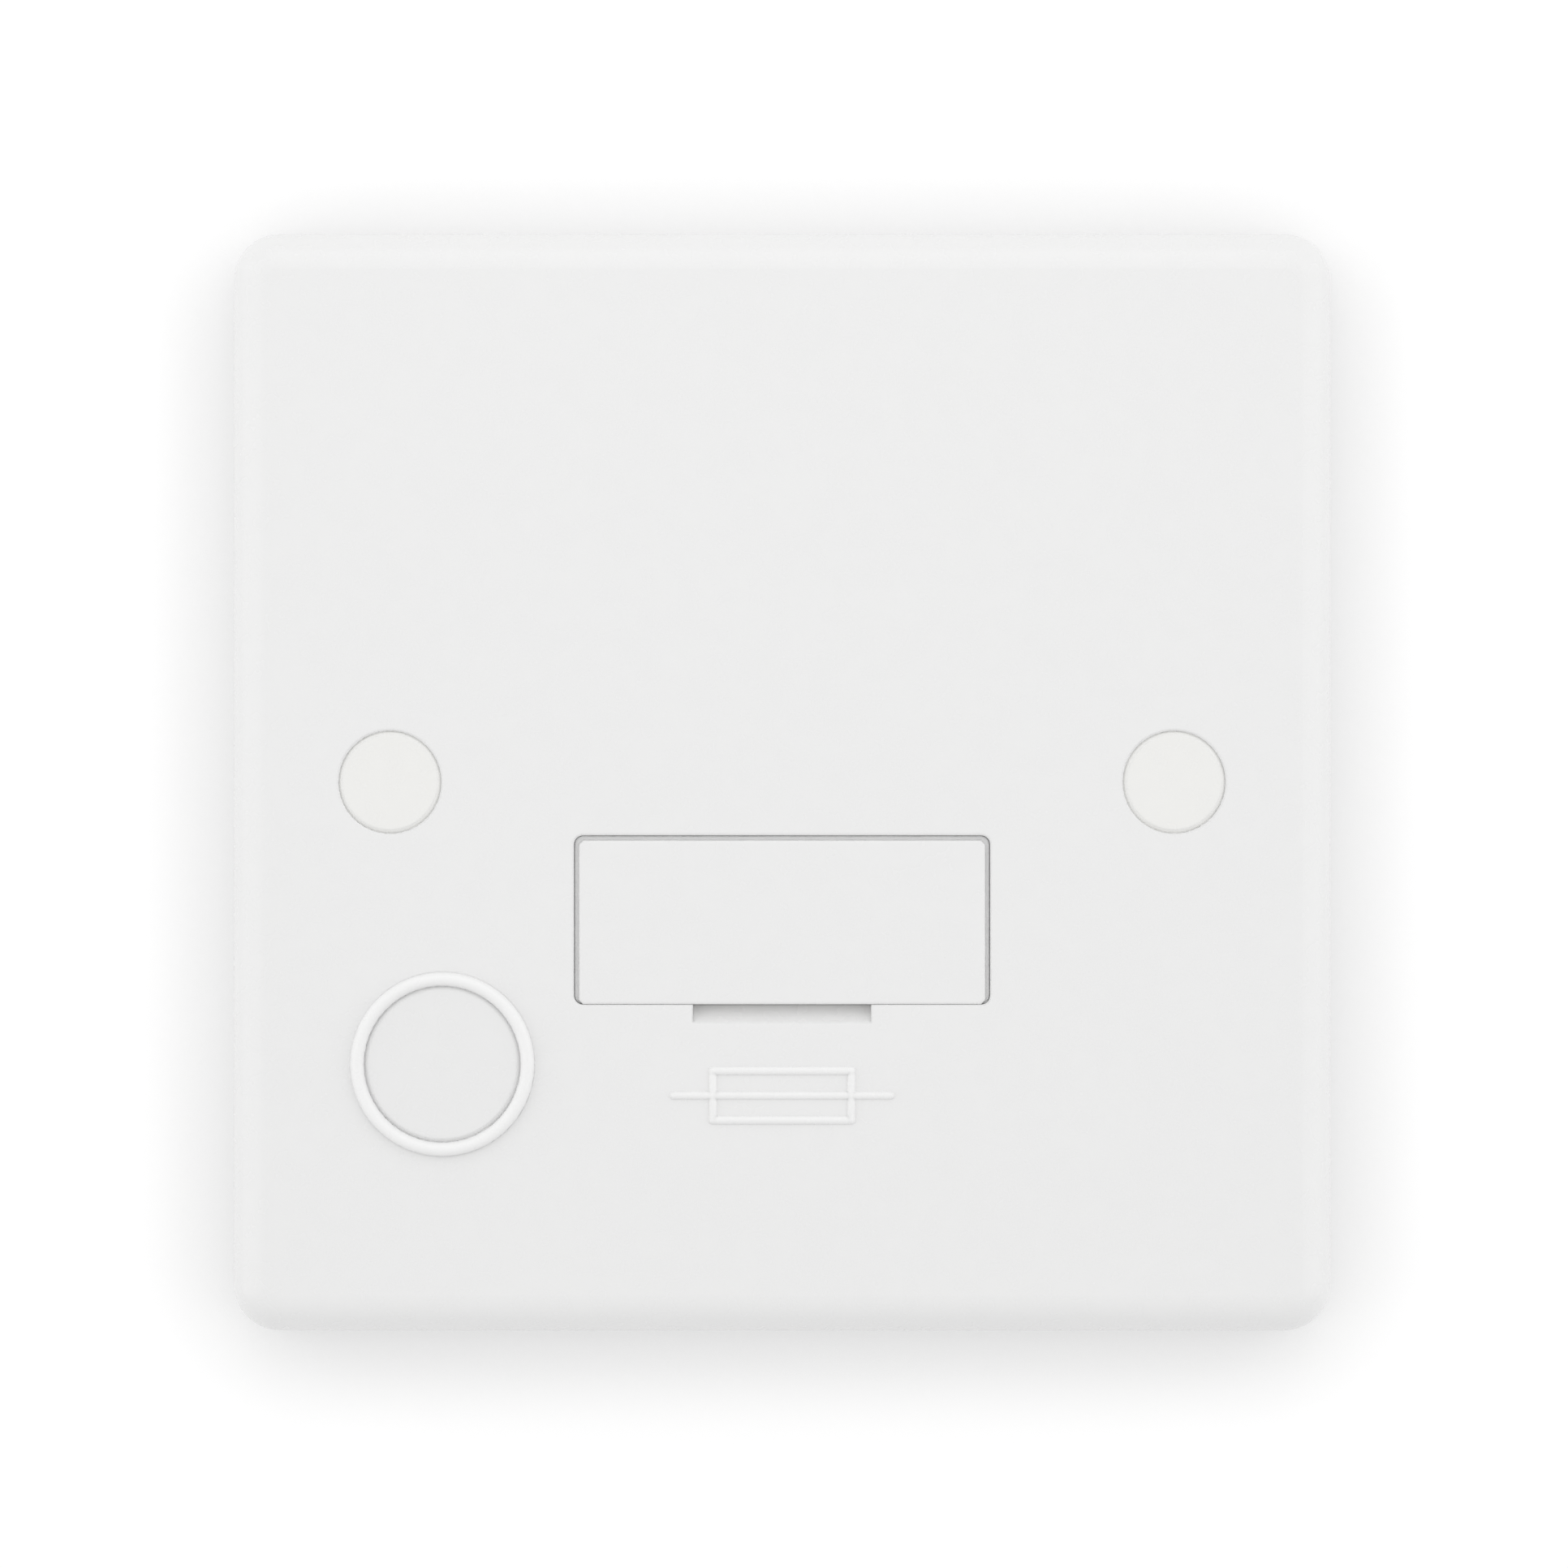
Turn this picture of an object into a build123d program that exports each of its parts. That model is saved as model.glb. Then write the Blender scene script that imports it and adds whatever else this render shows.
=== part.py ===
from build123d import *

import os

# Fused connection unit: a moulded wall plate with a pull-out fuse carrier, two screw covers and a flex outlet.
# Frame: X to the viewer's right, Z up, Y into the wall. The origin is the middle of the plate's back edge.
# A level is a distance in front of the wall, so a level of 5 lies at Y = -5. All lengths are millimetres,
# and the plate's draft is in degrees.

# Front plate
plate_side = 86.0
plate_depth = 9.2
plate_corner = 4.1
plate_edge = 3.0
plate_draft = 4.5
side_wall = 2.2
face_thickness = 2.6
rib_thickness = 1.4
rib_height = 3.2
mouth_bevel = 0.1

# Wall fixings and their covers
fixing_pitch = 60.3
fixing_thread = 3.5
fixing_neck = 3.0
fixing_length = 25.0
fixing_head_height = 2.1
fixing_hole = 4.0
fixing_seat = 2.6
boss_wall = 1.6
boss_setback = 0.6
thread_start = 0.2
cap_diameter = 7.83
cap_gap = 0.04
cap_thickness = 1.2
cap_skirt = 1.8
cap_skirt_wall = 0.8
cap_ledge = 0.35
cap_bevel = 0.25
head_clearance = 0.2

# Fuse carrier and the opening it slides in
aperture_height = 13.0
aperture_z = -10.6
aperture_corner = 0.7
sleeve_wall = 1.4
carrier_gap = 0.04
carrier_sill_gap = 0.02
carrier_panel = 2.4
carrier_cheek = 1.76
carrier_shelf = 1.2
carrier_edge = 0.15
shadow_width = 0.34
shadow_depth = 0.5
cradle_offset = 4.0
cradle_width = 3.0
cradle_wall = 1.3
cradle_wrap = 1.6
cradle_slack = 0.05
end_pad_radius = 2.0
end_pad_gap = 0.1
fuse_end_room = 1.5
notch_width = 13.7
notch_height = 1.4
notch_depth = 1.2
notch_hollow = 0.17
lip_thickness = 1.1
lip_reach = 1.5

# Cartridge fuse
fuse_length = 25.4
fuse_diameter = 6.35
fuse_cap_length = 5.6
fuse_cap_wall = 0.2
fuse_cap_bevel = 0.15
fuse_setback = 4.0

# Fuse clips
clip_sheet = 0.6
clip_width = 4.6
clip_inset = 0.2
clip_slack = 0.1
clip_heel = 1.0
clip_mouth = 1.8
clip_flare = 1.5
clip_flare_rise = 0.7
clip_bend = 0.9
clip_tail_gap = 0.4
clip_lug = 4.6
clip_clearance = 0.2

# Terminals
wire_bore = 4.6
bore_depth = 10.5
bore_front_wall = 1.1
bore_side_wall = 1.0
thread_wall = 2.3
block_length = 13.0
strip_thickness = 2.5
block_edge = 0.4
terminal_thread = 3.5
terminal_thread_slack = 0.05
terminal_thread_length = 5.5
terminal_head = 5.4
terminal_head_height = 1.9
terminal_screw_inset = 4.5

# Housing behind the plate
base_front = 1.5
base_wall = 1.6
base_floor = 2.0
base_recess = 2.7
base_gap = 0.55
base_corner = 1.2
barrier_reach = 2.4
chamber_clearance = 0.3
live_divider = 6.3
bar_clearance = 0.15
ear_radius = 3.0
ear_reach = 2.0
upper_ear_x = 10.0
lower_ear_x = 12.0
cover_thickness = 2.0
cover_edge = 0.5
tower_corner = 2.5
access_clearance = 0.3
housing_thread = 3.0
housing_hole = 3.4
housing_thread_slack = 0.05
housing_head = 5.6
housing_head_height = 1.9
housing_tip_cover = 1.4

# Flex outlet and cord clamp
flex_hole = 11.0
collar_wall = 1.6
collar_length = 3.4
outlet_gap = 1.1
outlet_z = -21.66
ring_wall = 1.05
ring_height = 0.7
ring_crown = 0.4
plug_recess = 12.05
plug_gap = 0.04
plug_thickness = 1.8
plug_rise = 0.3
plug_skirt = 1.8
plug_skirt_wall = 0.7
plug_skirt_gap = 0.15
plug_slot = 2.6
plug_bevel = 0.25
clamp_gap = 0.95
clamp_width = 6.0
clamp_sheet = 1.9
clamp_boss_radius = 2.3
clamp_boss_height = 2.6
clamp_arch_height = 7.0
clamp_bend = 1.3
clamp_thread = 2.9
clamp_hole = 3.2
clamp_head = 4.4
clamp_head_height = 1.7
clamp_tip_cover = 0.9
clamp_thread_slack = 0.05
clamp_head_gap = 0.25

# Every screw head is slotted
slot_ratio = 0.2
slot_depth_ratio = 0.45
head_bevel_ratio = 0.25

# Levels and places that follow from the sizes above
inner_level = plate_depth - face_thickness
plate_inner_half = plate_side / 2 - side_wall
fixing_x = fixing_pitch / 2
cap_bore_radius = cap_diameter / 2 + cap_gap
head_bore_radius = cap_bore_radius - cap_ledge
fixing_head_radius = head_bore_radius - head_clearance
boss_radius = cap_bore_radius + boss_wall
fixing_seat_level = boss_setback + fixing_seat
cap_seat_level = plate_depth - cap_thickness - cap_skirt

carrier_width = fuse_length + 2 * (fuse_end_room + carrier_cheek)
aperture_width = carrier_width + 2 * carrier_gap
carrier_height = aperture_height - carrier_gap - carrier_sill_gap
carrier_z = aperture_z - (carrier_gap - carrier_sill_gap) / 2
carrier_corner = aperture_corner - carrier_gap
carrier_back_level = plate_depth - carrier_panel
aperture_bottom = aperture_z - aperture_height / 2
carrier_bottom = carrier_z - carrier_height / 2

fuse_radius = fuse_diameter / 2
fuse_barrel_radius = fuse_radius - fuse_cap_wall
fuse_level = -fuse_setback

leaf_offset = fuse_radius + clip_slack + clip_sheet / 2
clip_front_level = fuse_level - fuse_radius - clip_heel
clip_back_level = clip_front_level - clip_sheet
clip_mouth_level = fuse_level + clip_mouth
clip_tip_level = clip_mouth_level + clip_flare
clip_outer_x = fuse_length / 2 - clip_inset
clip_inner_x = clip_outer_x - clip_width

chamber_width = aperture_width + 2 * chamber_clearance
chamber_height = aperture_height + 2 * chamber_clearance
chamber_half_outer = chamber_width / 2 + base_wall
chamber_top = aperture_z + chamber_height / 2
chamber_top_outer = chamber_top + base_wall
chamber_bottom_outer = aperture_z - chamber_height / 2 - base_wall
tail_inner_x = clip_outer_x + clip_tail_gap
tail_outer_x = chamber_width / 2 - clip_tail_gap

base_half_width = fixing_x - boss_radius - base_gap
bar_seat_level = base_front - base_recess - base_floor
bar_depth = bore_front_wall + wire_bore + thread_wall
bar_height = wire_bore + 2 * bore_side_wall
bar_back_level = bar_seat_level - bar_depth
bore_level = bar_seat_level - bore_front_wall - wire_bore / 2
block_inner_x = base_half_width - block_length
bay_bottom = chamber_top + live_divider
live_z = bay_bottom + clip_sheet + bar_height / 2
terminal_pitch = bar_height + 2 * bar_clearance + base_wall
neutral_z = live_z + terminal_pitch
earth_z = neutral_z + terminal_pitch
base_top = earth_z + bar_height / 2 + bar_clearance + base_wall
base_back_level = bar_back_level
cover_back_level = base_back_level - cover_thickness
channel_height = bar_height + 2 * bar_clearance
upper_ear_z = base_top + ear_reach
lower_ear_z = chamber_bottom_outer - ear_reach
ear_points = [
    (-upper_ear_x, upper_ear_z),
    (upper_ear_x, upper_ear_z),
    (-lower_ear_x, lower_ear_z),
    (lower_ear_x, lower_ear_z),
]
terminal_screw_x = base_half_width - terminal_screw_inset
terminal_points = [
    (side * terminal_screw_x, height)
    for height in (live_z, neutral_z, earth_z)
    for side in (-1, 1)
]
terminal_tip_level = bore_level - wire_bore / 2
terminal_seat_level = terminal_tip_level - terminal_thread_length
terminal_head_level = terminal_seat_level - terminal_head_height
access_radius = terminal_head / 2 + access_clearance
tower_width = 2 * terminal_screw_inset
housing_tip_level = inner_level - housing_tip_cover

flex_radius = flex_hole / 2
collar_radius = flex_radius + collar_wall
outlet_x = -(chamber_half_outer + outlet_gap + collar_radius)
ring_inner = plug_recess / 2
ring_outer = ring_inner + ring_wall
ring_shoulder = ring_crown - ring_height
plug_radius = ring_inner - plug_gap
plug_seat_level = plate_depth - plug_thickness
plug_skirt_radius = flex_radius - plug_skirt_gap

clamp_span = plate_inner_half - chamber_half_outer - 2 * clamp_gap
clamp_x = -(plate_inner_half + chamber_half_outer) / 2
clamp_z = (outlet_z + collar_radius - boss_radius) / 2
clamp_seat_level = inner_level - clamp_boss_height
clamp_head_level = clamp_seat_level - clamp_sheet
clamp_screw_offset = clamp_span / 2 - clamp_boss_radius
clamp_leg = clamp_screw_offset - clamp_head / 2 - clamp_head_gap - clamp_sheet / 2
clamp_arch_level = inner_level - clamp_arch_height - clamp_sheet / 2
clamp_points = [(clamp_x - clamp_screw_offset, clamp_z), (clamp_x + clamp_screw_offset, clamp_z)]
clamp_tip_level = inner_level - clamp_tip_cover


def level(distance):
    """The sketch plane that lies this far in front of the wall and faces the viewer."""
    return Plane.XZ.offset(distance)


def housing_outline():
    """The T-shaped outline, with its four ears, that the housing and its cover share."""
    with Locations((0, (chamber_top_outer + base_top) / 2)):
        RectangleRounded(2 * base_half_width, base_top - chamber_top_outer, base_corner)
    with Locations((0, (chamber_bottom_outer + live_z) / 2)):
        RectangleRounded(2 * chamber_half_outer, live_z - chamber_bottom_outer, base_corner)
    with Locations(*ear_points):
        Circle(ear_radius)
    for x, z in ear_points:
        with Locations((x, z - ear_reach / 2 if z > 0 else z + ear_reach / 2)):
            Rectangle(2 * ear_radius, ear_reach)


def make_screws(points, seat, tip, thread_radius, head_radius, head_height):
    """Slotted pan-head screws, one solid at each point, with the head's flat face on the seat level."""
    outward = 1 if seat > tip else -1
    head_level = seat + outward * head_height
    with BuildPart() as screws:
        with BuildSketch(level(seat)):
            with Locations(*points):
                Circle(head_radius)
        extrude(amount=head_level - seat)
        crowns = screws.faces().filter_by(Axis.Y).filter_by_position(Axis.Y, -head_level, -head_level)
        chamfer(crowns.edges(), head_bevel_ratio * head_height)
        with BuildSketch(level(head_level)):
            with Locations(*points):
                Rectangle(2 * head_radius, slot_ratio * head_radius * 2)
        extrude(amount=-outward * slot_depth_ratio * head_height, mode=Mode.SUBTRACT)
        with BuildSketch(level(seat)):
            with Locations(*points):
                Circle(thread_radius)
        extrude(amount=tip - seat)
    return screws.part


def make_screw_cap(x):
    """A round cover whose skirt stands on the ledge above a fixing screw."""
    with BuildPart() as cap:
        with BuildSketch(level(plate_depth)):
            with Locations((x, 0)):
                Circle(cap_diameter / 2)
        extrude(amount=-cap_thickness)
        chamfer(cap.faces().sort_by(Axis.Y)[0].edges(), cap_bevel)
        with BuildSketch(level(plate_depth - cap_thickness)):
            with Locations((x, 0)):
                Circle(cap_diameter / 2)
                Circle(cap_diameter / 2 - cap_skirt_wall, mode=Mode.SUBTRACT)
        extrude(amount=-cap_skirt)
    return cap.part


def drill_terminal(side, height):
    """Cuts one wire bore from the side of a terminal and its screw hole from the back."""
    with Locations(Plane((side * base_half_width, -bore_level, height), z_dir=(side, 0, 0))):
        Hole(wire_bore / 2, depth=bore_depth)
    with Locations(Plane((side * terminal_screw_x, -bar_back_level, height), z_dir=(0, 1, 0))):
        Hole(terminal_thread / 2 + terminal_thread_slack, depth=thread_wall + wire_bore / 2)


def make_live_terminal(side):
    """A brass block with one wire bore, on the given side of the middle."""
    with BuildPart() as block:
        with BuildSketch(level(bar_seat_level)):
            with Locations((side * (base_half_width - block_length / 2), live_z)):
                Rectangle(block_length, bar_height)
        extrude(amount=-bar_depth)
        chamfer(block.edges().filter_by(Axis.X), block_edge)
        drill_terminal(side, live_z)
    return block.part


def make_terminal_bar(height):
    """A brass bar with a wire bore at each end and a thin strip between the two ends."""
    with BuildPart() as bar:
        with BuildSketch(level(bar_seat_level)):
            with Locations((0, height)):
                Rectangle(2 * base_half_width, bar_height)
        extrude(amount=-bar_depth)
        chamfer(bar.edges().filter_by(Axis.X), block_edge)
        with BuildSketch(level(bar_back_level)):
            with Locations((0, height)):
                Rectangle(2 * block_inner_x, bar_height)
        extrude(amount=bar_depth - strip_thickness, mode=Mode.SUBTRACT)
        drill_terminal(-1, height)
        drill_terminal(1, height)
    return bar.part


def make_fuse_cap(side):
    """A metal cup on one end of the fuse."""
    with BuildPart() as cup:
        with BuildSketch(Plane.YZ.offset(side * fuse_length / 2)):
            with Locations((-fuse_level, aperture_z)):
                Circle(fuse_radius)
        extrude(amount=-side * fuse_cap_length)
        chamfer(cup.edges().sort_by(Axis.X)[-1 if side > 0 else 0], fuse_cap_bevel)
        with BuildSketch(Plane.YZ.offset(side * (fuse_length / 2 - fuse_cap_length))):
            with Locations((-fuse_level, aperture_z)):
                Circle(fuse_barrel_radius)
        extrude(amount=side * (fuse_cap_length - fuse_cap_wall), mode=Mode.SUBTRACT)
    return cup.part


def make_fuse_clip(side):
    """A folded spring: two leaves astride a fuse cap, a heel, and a tail that turns under a live terminal."""
    heel_level = (clip_front_level + clip_back_level) / 2
    with BuildPart() as clip:
        with BuildSketch(Plane.YZ.offset(side * clip_inner_x)):
            with BuildLine():
                FilletPolyline(
                    (-clip_tip_level, aperture_z - leaf_offset - clip_flare_rise),
                    (-clip_mouth_level, aperture_z - leaf_offset),
                    (-heel_level, aperture_z - leaf_offset),
                    (-heel_level, aperture_z + leaf_offset),
                    (-clip_mouth_level, aperture_z + leaf_offset),
                    (-clip_tip_level, aperture_z + leaf_offset + clip_flare_rise),
                    radius=clip_bend,
                )
            trace(line_width=clip_sheet)
        extrude(amount=side * clip_width)
        with BuildSketch(Plane.YZ.offset(side * tail_inner_x)):
            with BuildLine():
                FilletPolyline(
                    (-heel_level, aperture_z - fuse_radius / 2),
                    (-heel_level, bay_bottom + clip_sheet / 2),
                    (-heel_level - clip_lug, bay_bottom + clip_sheet / 2),
                    radius=clip_bend,
                )
            trace(line_width=clip_sheet)
        extrude(amount=side * (tail_outer_x - tail_inner_x))
        with BuildSketch(level(clip_front_level)):
            with Locations((side * (clip_inner_x + tail_outer_x) / 2, aperture_z)):
                Rectangle(tail_outer_x - clip_inner_x, fuse_radius)
        extrude(amount=-clip_sheet)
    return clip.part


with BuildPart() as front_plate:
    # Shell with sloping sides and a rounded front edge
    with BuildSketch(level(0)):
        RectangleRounded(plate_side, plate_side, plate_corner)
    extrude(amount=plate_depth)
    draft(front_plate.faces().filter_by(Axis.Y, reverse=True), level(0), plate_draft)
    fillet(front_plate.faces().sort_by(Axis.Y)[0].edges(), plate_edge)
    with BuildSketch(level(0)):
        RectangleRounded(2 * plate_inner_half, 2 * plate_inner_half, plate_corner - side_wall / 2)
    extrude(amount=inner_level, mode=Mode.SUBTRACT)

    # Sleeve, bosses, outlet collar and ribs on the inside
    with BuildSketch(level(inner_level)):
        with Locations((0, aperture_z)):
            Rectangle(aperture_width + 2 * sleeve_wall, aperture_height + 2 * sleeve_wall)
        with Locations(*ear_points):
            Circle(ear_radius)
    extrude(amount=base_front - inner_level)
    with BuildSketch(level(inner_level)):
        with Locations((-fixing_x, 0), (fixing_x, 0)):
            Circle(boss_radius)
    extrude(amount=boss_setback - inner_level)
    with BuildSketch(level(inner_level)):
        with Locations(*clamp_points):
            Circle(clamp_boss_radius)
    extrude(amount=-clamp_boss_height)
    with BuildSketch(level(inner_level)):
        with Locations((outlet_x, outlet_z)):
            Circle(collar_radius)
    extrude(amount=-collar_length)
    with BuildSketch(level(inner_level)):
        for side in (-1, 1):
            with Locations((side * (fixing_x + boss_radius / 2 + plate_inner_half) / 2, 0)):
                Rectangle(plate_inner_half - fixing_x - boss_radius / 2, rib_thickness)
            with Locations((side * upper_ear_x, (upper_ear_z + plate_inner_half) / 2)):
                Rectangle(rib_thickness, plate_inner_half - upper_ear_z)
            with Locations((side * lower_ear_x, (lower_ear_z - plate_inner_half) / 2)):
                Rectangle(rib_thickness, plate_inner_half + lower_ear_z)
    extrude(amount=-rib_height)

    # Openings in the face
    with BuildSketch(level(plate_depth)):
        with Locations((0, aperture_z)):
            RectangleRounded(aperture_width, aperture_height, aperture_corner)
    extrude(amount=base_front - plate_depth, mode=Mode.SUBTRACT)
    with Locations(level(plate_depth)):
        with Locations((-fixing_x, 0), (fixing_x, 0)):
            Hole(cap_bore_radius, depth=plate_depth - cap_seat_level)
            Hole(head_bore_radius, depth=plate_depth - fixing_seat_level)
            Hole(fixing_hole / 2)
    faces_in_front = front_plate.faces().filter_by(Axis.Y).filter_by_position(Axis.Y, -plate_depth, -plate_depth)
    chamfer(faces_in_front.sort_by(SortBy.AREA)[-1].inner_wires().edges(), mouth_bevel)

    # Raised ring and stepped hole of the flex outlet
    with BuildSketch(Plane((outlet_x, -plate_depth, outlet_z), x_dir=(1, 0, 0), z_dir=(0, 0, 1))):
        with BuildLine():
            Polyline(
                (ring_inner, ring_shoulder),
                (ring_inner, 0),
                (ring_outer, 0),
                (ring_outer, ring_shoulder),
            )
            SagittaArc((ring_outer, ring_shoulder), (ring_inner, ring_shoulder), ring_crown)
        make_face()
    revolve(axis=Axis((outlet_x, 0, outlet_z), (0, 1, 0)))
    with Locations(level(plate_depth)):
        with Locations((outlet_x, outlet_z)):
            Hole(ring_inner, depth=plug_thickness)
            Hole(flex_radius)

    # Lever notch below the carrier, hollowed from the aperture's edge
    with BuildSketch(Plane.YZ):
        with BuildLine():
            Line((-plate_depth, aperture_bottom - notch_height), (-plate_depth, aperture_bottom))
            Line((-plate_depth, aperture_bottom), (notch_depth - plate_depth, aperture_bottom))
            SagittaArc(
                (notch_depth - plate_depth, aperture_bottom),
                (-plate_depth, aperture_bottom - notch_height),
                notch_hollow,
            )
        make_face()
    extrude(amount=notch_width / 2, both=True, mode=Mode.SUBTRACT)

    # Pilot holes for the housing screws and the clamp screws
    with Locations(level(base_front)):
        with Locations(*ear_points):
            Hole(housing_thread / 2 + housing_thread_slack, depth=housing_tip_level - base_front)
    with Locations(level(clamp_seat_level)):
        with Locations(*clamp_points):
            Hole(clamp_thread / 2 + clamp_thread_slack, depth=clamp_tip_level - clamp_seat_level)

with BuildPart() as fuse_carrier:
    # Door panel, with a face flush with the plate and a shadow step along its top and sides
    with BuildSketch(level(plate_depth)):
        with Locations((0, carrier_z - shadow_width / 2)):
            door_face = Rectangle(carrier_width - 2 * shadow_width, carrier_height - shadow_width)
        chamfer(door_face.vertices(), carrier_corner - shadow_width)
    extrude(amount=-carrier_panel)
    fillet(fuse_carrier.faces().sort_by(Axis.Y)[0].edges(), carrier_edge)
    with BuildSketch(level(plate_depth - shadow_depth)):
        with Locations((0, carrier_z)):
            RectangleRounded(carrier_width, carrier_height, carrier_corner)
    extrude(amount=shadow_depth - carrier_panel)

    # Cheeks that guide it and shelves that join them
    with BuildSketch(level(carrier_back_level)):
        for side in (-1, 1):
            with Locations((side * (carrier_width - carrier_cheek) / 2, carrier_z)):
                Rectangle(carrier_cheek, carrier_height - 2 * carrier_corner)
    extrude(amount=fuse_level - fuse_radius - carrier_back_level)
    with BuildSketch(level(carrier_back_level)):
        for side in (-1, 1):
            with Locations((0, carrier_z + side * (carrier_height / 2 - carrier_edge - carrier_shelf / 2))):
                Rectangle(carrier_width - carrier_cheek, carrier_shelf)
    extrude(amount=clip_tip_level + clip_clearance + clip_sheet - carrier_back_level)

    # C-shaped cradle jaws round the fuse's barrel
    with BuildSketch(Plane.YZ):
        with Locations(((-carrier_back_level - fuse_level + cradle_wrap) / 2, aperture_z)):
            Rectangle(carrier_back_level - fuse_level + cradle_wrap, 2 * (fuse_radius + cradle_wall))
        with Locations((-fuse_level, aperture_z)):
            Circle(fuse_barrel_radius + cradle_slack, mode=Mode.SUBTRACT)
    cradle = extrude(amount=cradle_width / 2, both=True, mode=Mode.PRIVATE)
    with Locations((-cradle_offset, 0, 0), (cradle_offset, 0, 0)):
        add(cradle)

    # Pads on the cheeks that keep the fuse from sliding endways
    for side in (-1, 1):
        with BuildSketch(Plane.YZ.offset(side * (carrier_width / 2 - carrier_cheek))):
            with Locations((-fuse_level, aperture_z)):
                Circle(end_pad_radius)
        extrude(amount=-side * (fuse_end_room - end_pad_gap))

    # Groove behind the lower lip for a screwdriver blade
    with BuildSketch(level(plate_depth - lip_thickness)):
        with Locations((0, carrier_bottom)):
            Rectangle(notch_width, 2 * lip_reach)
    extrude(amount=lip_thickness - carrier_panel, mode=Mode.SUBTRACT)

with BuildPart() as fuse_barrel:
    with BuildSketch(Plane.YZ):
        with Locations((-fuse_level, aperture_z)):
            Circle(fuse_barrel_radius)
    extrude(amount=fuse_length / 2 - fuse_cap_wall, both=True)

with BuildPart() as terminal_base:
    with BuildSketch(level(base_front)):
        housing_outline()
    extrude(amount=base_back_level - base_front)

    # Hollow at the front under the terminal floor, and the fuse chamber right through
    with BuildSketch(level(base_front)):
        with Locations((0, (chamber_top_outer + base_top) / 2)):
            Rectangle(2 * (base_half_width - base_wall), base_top - chamber_top_outer - 2 * base_wall)
    extrude(amount=-base_recess, mode=Mode.SUBTRACT)
    with BuildSketch(level(base_front)):
        with Locations((0, aperture_z)):
            Rectangle(chamber_width, chamber_height)
    extrude(amount=base_back_level - base_front, mode=Mode.SUBTRACT)

    # Channels for the two bars and bays for the two live blocks, open at the back and the sides
    with BuildSketch(level(base_back_level)):
        with Locations((0, neutral_z), (0, earth_z)):
            Rectangle(2 * base_half_width, channel_height)
        for side in (-1, 1):
            with Locations((side * (base_half_width + block_inner_x - bar_clearance) / 2,
                            (bay_bottom + live_z + channel_height / 2) / 2)):
                Rectangle(block_length + bar_clearance, live_z + channel_height / 2 - bay_bottom)
    extrude(amount=bar_seat_level - base_back_level, mode=Mode.SUBTRACT)

    # Slots for the clip tails
    with BuildSketch(level(base_back_level)):
        for side in (-1, 1):
            with Locations((side * (tail_inner_x + tail_outer_x) / 2, (chamber_top + bay_bottom) / 2)):
                Rectangle(tail_outer_x - tail_inner_x + 2 * clip_clearance, bay_bottom - chamber_top)
    extrude(amount=clip_front_level + clip_bend - base_back_level, mode=Mode.SUBTRACT)
    with Locations(level(base_front)):
        with Locations(*ear_points):
            Hole(housing_hole / 2)

    # Barriers that keep the wires of neighbouring terminals apart
    with BuildSketch(level(bar_seat_level)):
        for side in (-1, 1):
            with Locations((side * (base_half_width + barrier_reach / 2), live_z + terminal_pitch / 2),
                           (side * (base_half_width + barrier_reach / 2), neutral_z + terminal_pitch / 2)):
                Rectangle(barrier_reach, base_wall)
    extrude(amount=-bar_depth)

with BuildPart() as rear_cover:
    with BuildSketch(level(base_back_level)):
        housing_outline()
    extrude(amount=-cover_thickness)
    chamfer(rear_cover.faces().sort_by(Axis.Y)[-1].edges(), cover_edge)

    # Towers that bring the screw wells up to the heads
    with BuildSketch(level(base_back_level)):
        with Locations((-terminal_screw_x, neutral_z), (terminal_screw_x, neutral_z)):
            RectangleRounded(tower_width, 2 * terminal_pitch + tower_width, tower_corner)
    extrude(amount=terminal_head_level - base_back_level)

    # Pads that press the clips' heels
    with BuildSketch(level(base_back_level)):
        for side in (-1, 1):
            with Locations((side * (clip_inner_x + tail_outer_x) / 2, aperture_z)):
                Rectangle(tail_outer_x - clip_inner_x, fuse_radius)
    extrude(amount=clip_back_level - base_back_level)
    with Locations(level(cover_back_level)):
        with Locations(*terminal_points):
            Hole(access_radius)
        with Locations(*ear_points):
            Hole(housing_hole / 2)

with BuildPart() as outlet_plug:
    with BuildSketch(level(plug_seat_level)):
        with Locations((outlet_x, outlet_z)):
            Circle(plug_radius)
    extrude(amount=plug_thickness + plug_rise)
    chamfer(outlet_plug.faces().sort_by(Axis.Y)[0].edges(), plug_bevel)
    with BuildSketch(level(plug_seat_level)):
        with Locations((outlet_x, outlet_z)):
            Circle(plug_skirt_radius)
            Circle(plug_skirt_radius - plug_skirt_wall, mode=Mode.SUBTRACT)
            Rectangle(2 * plug_skirt_radius, plug_slot, mode=Mode.SUBTRACT)
            Rectangle(plug_slot, 2 * plug_skirt_radius, mode=Mode.SUBTRACT)
    extrude(amount=-plug_skirt)

with BuildPart() as cord_clamp:
    with BuildSketch(Plane.XY.offset(clamp_z - clamp_width / 2)):
        with BuildLine():
            FilletPolyline(
                (clamp_x - clamp_span / 2, clamp_sheet / 2 - clamp_seat_level),
                (clamp_x - clamp_leg, clamp_sheet / 2 - clamp_seat_level),
                (clamp_x - clamp_leg, -clamp_arch_level),
                (clamp_x + clamp_leg, -clamp_arch_level),
                (clamp_x + clamp_leg, clamp_sheet / 2 - clamp_seat_level),
                (clamp_x + clamp_span / 2, clamp_sheet / 2 - clamp_seat_level),
                radius=clamp_bend,
            )
        trace(line_width=clamp_sheet)
    extrude(amount=clamp_width)
    with Locations(level(clamp_seat_level)):
        with Locations(*clamp_points):
            Hole(clamp_hole / 2)

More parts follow.
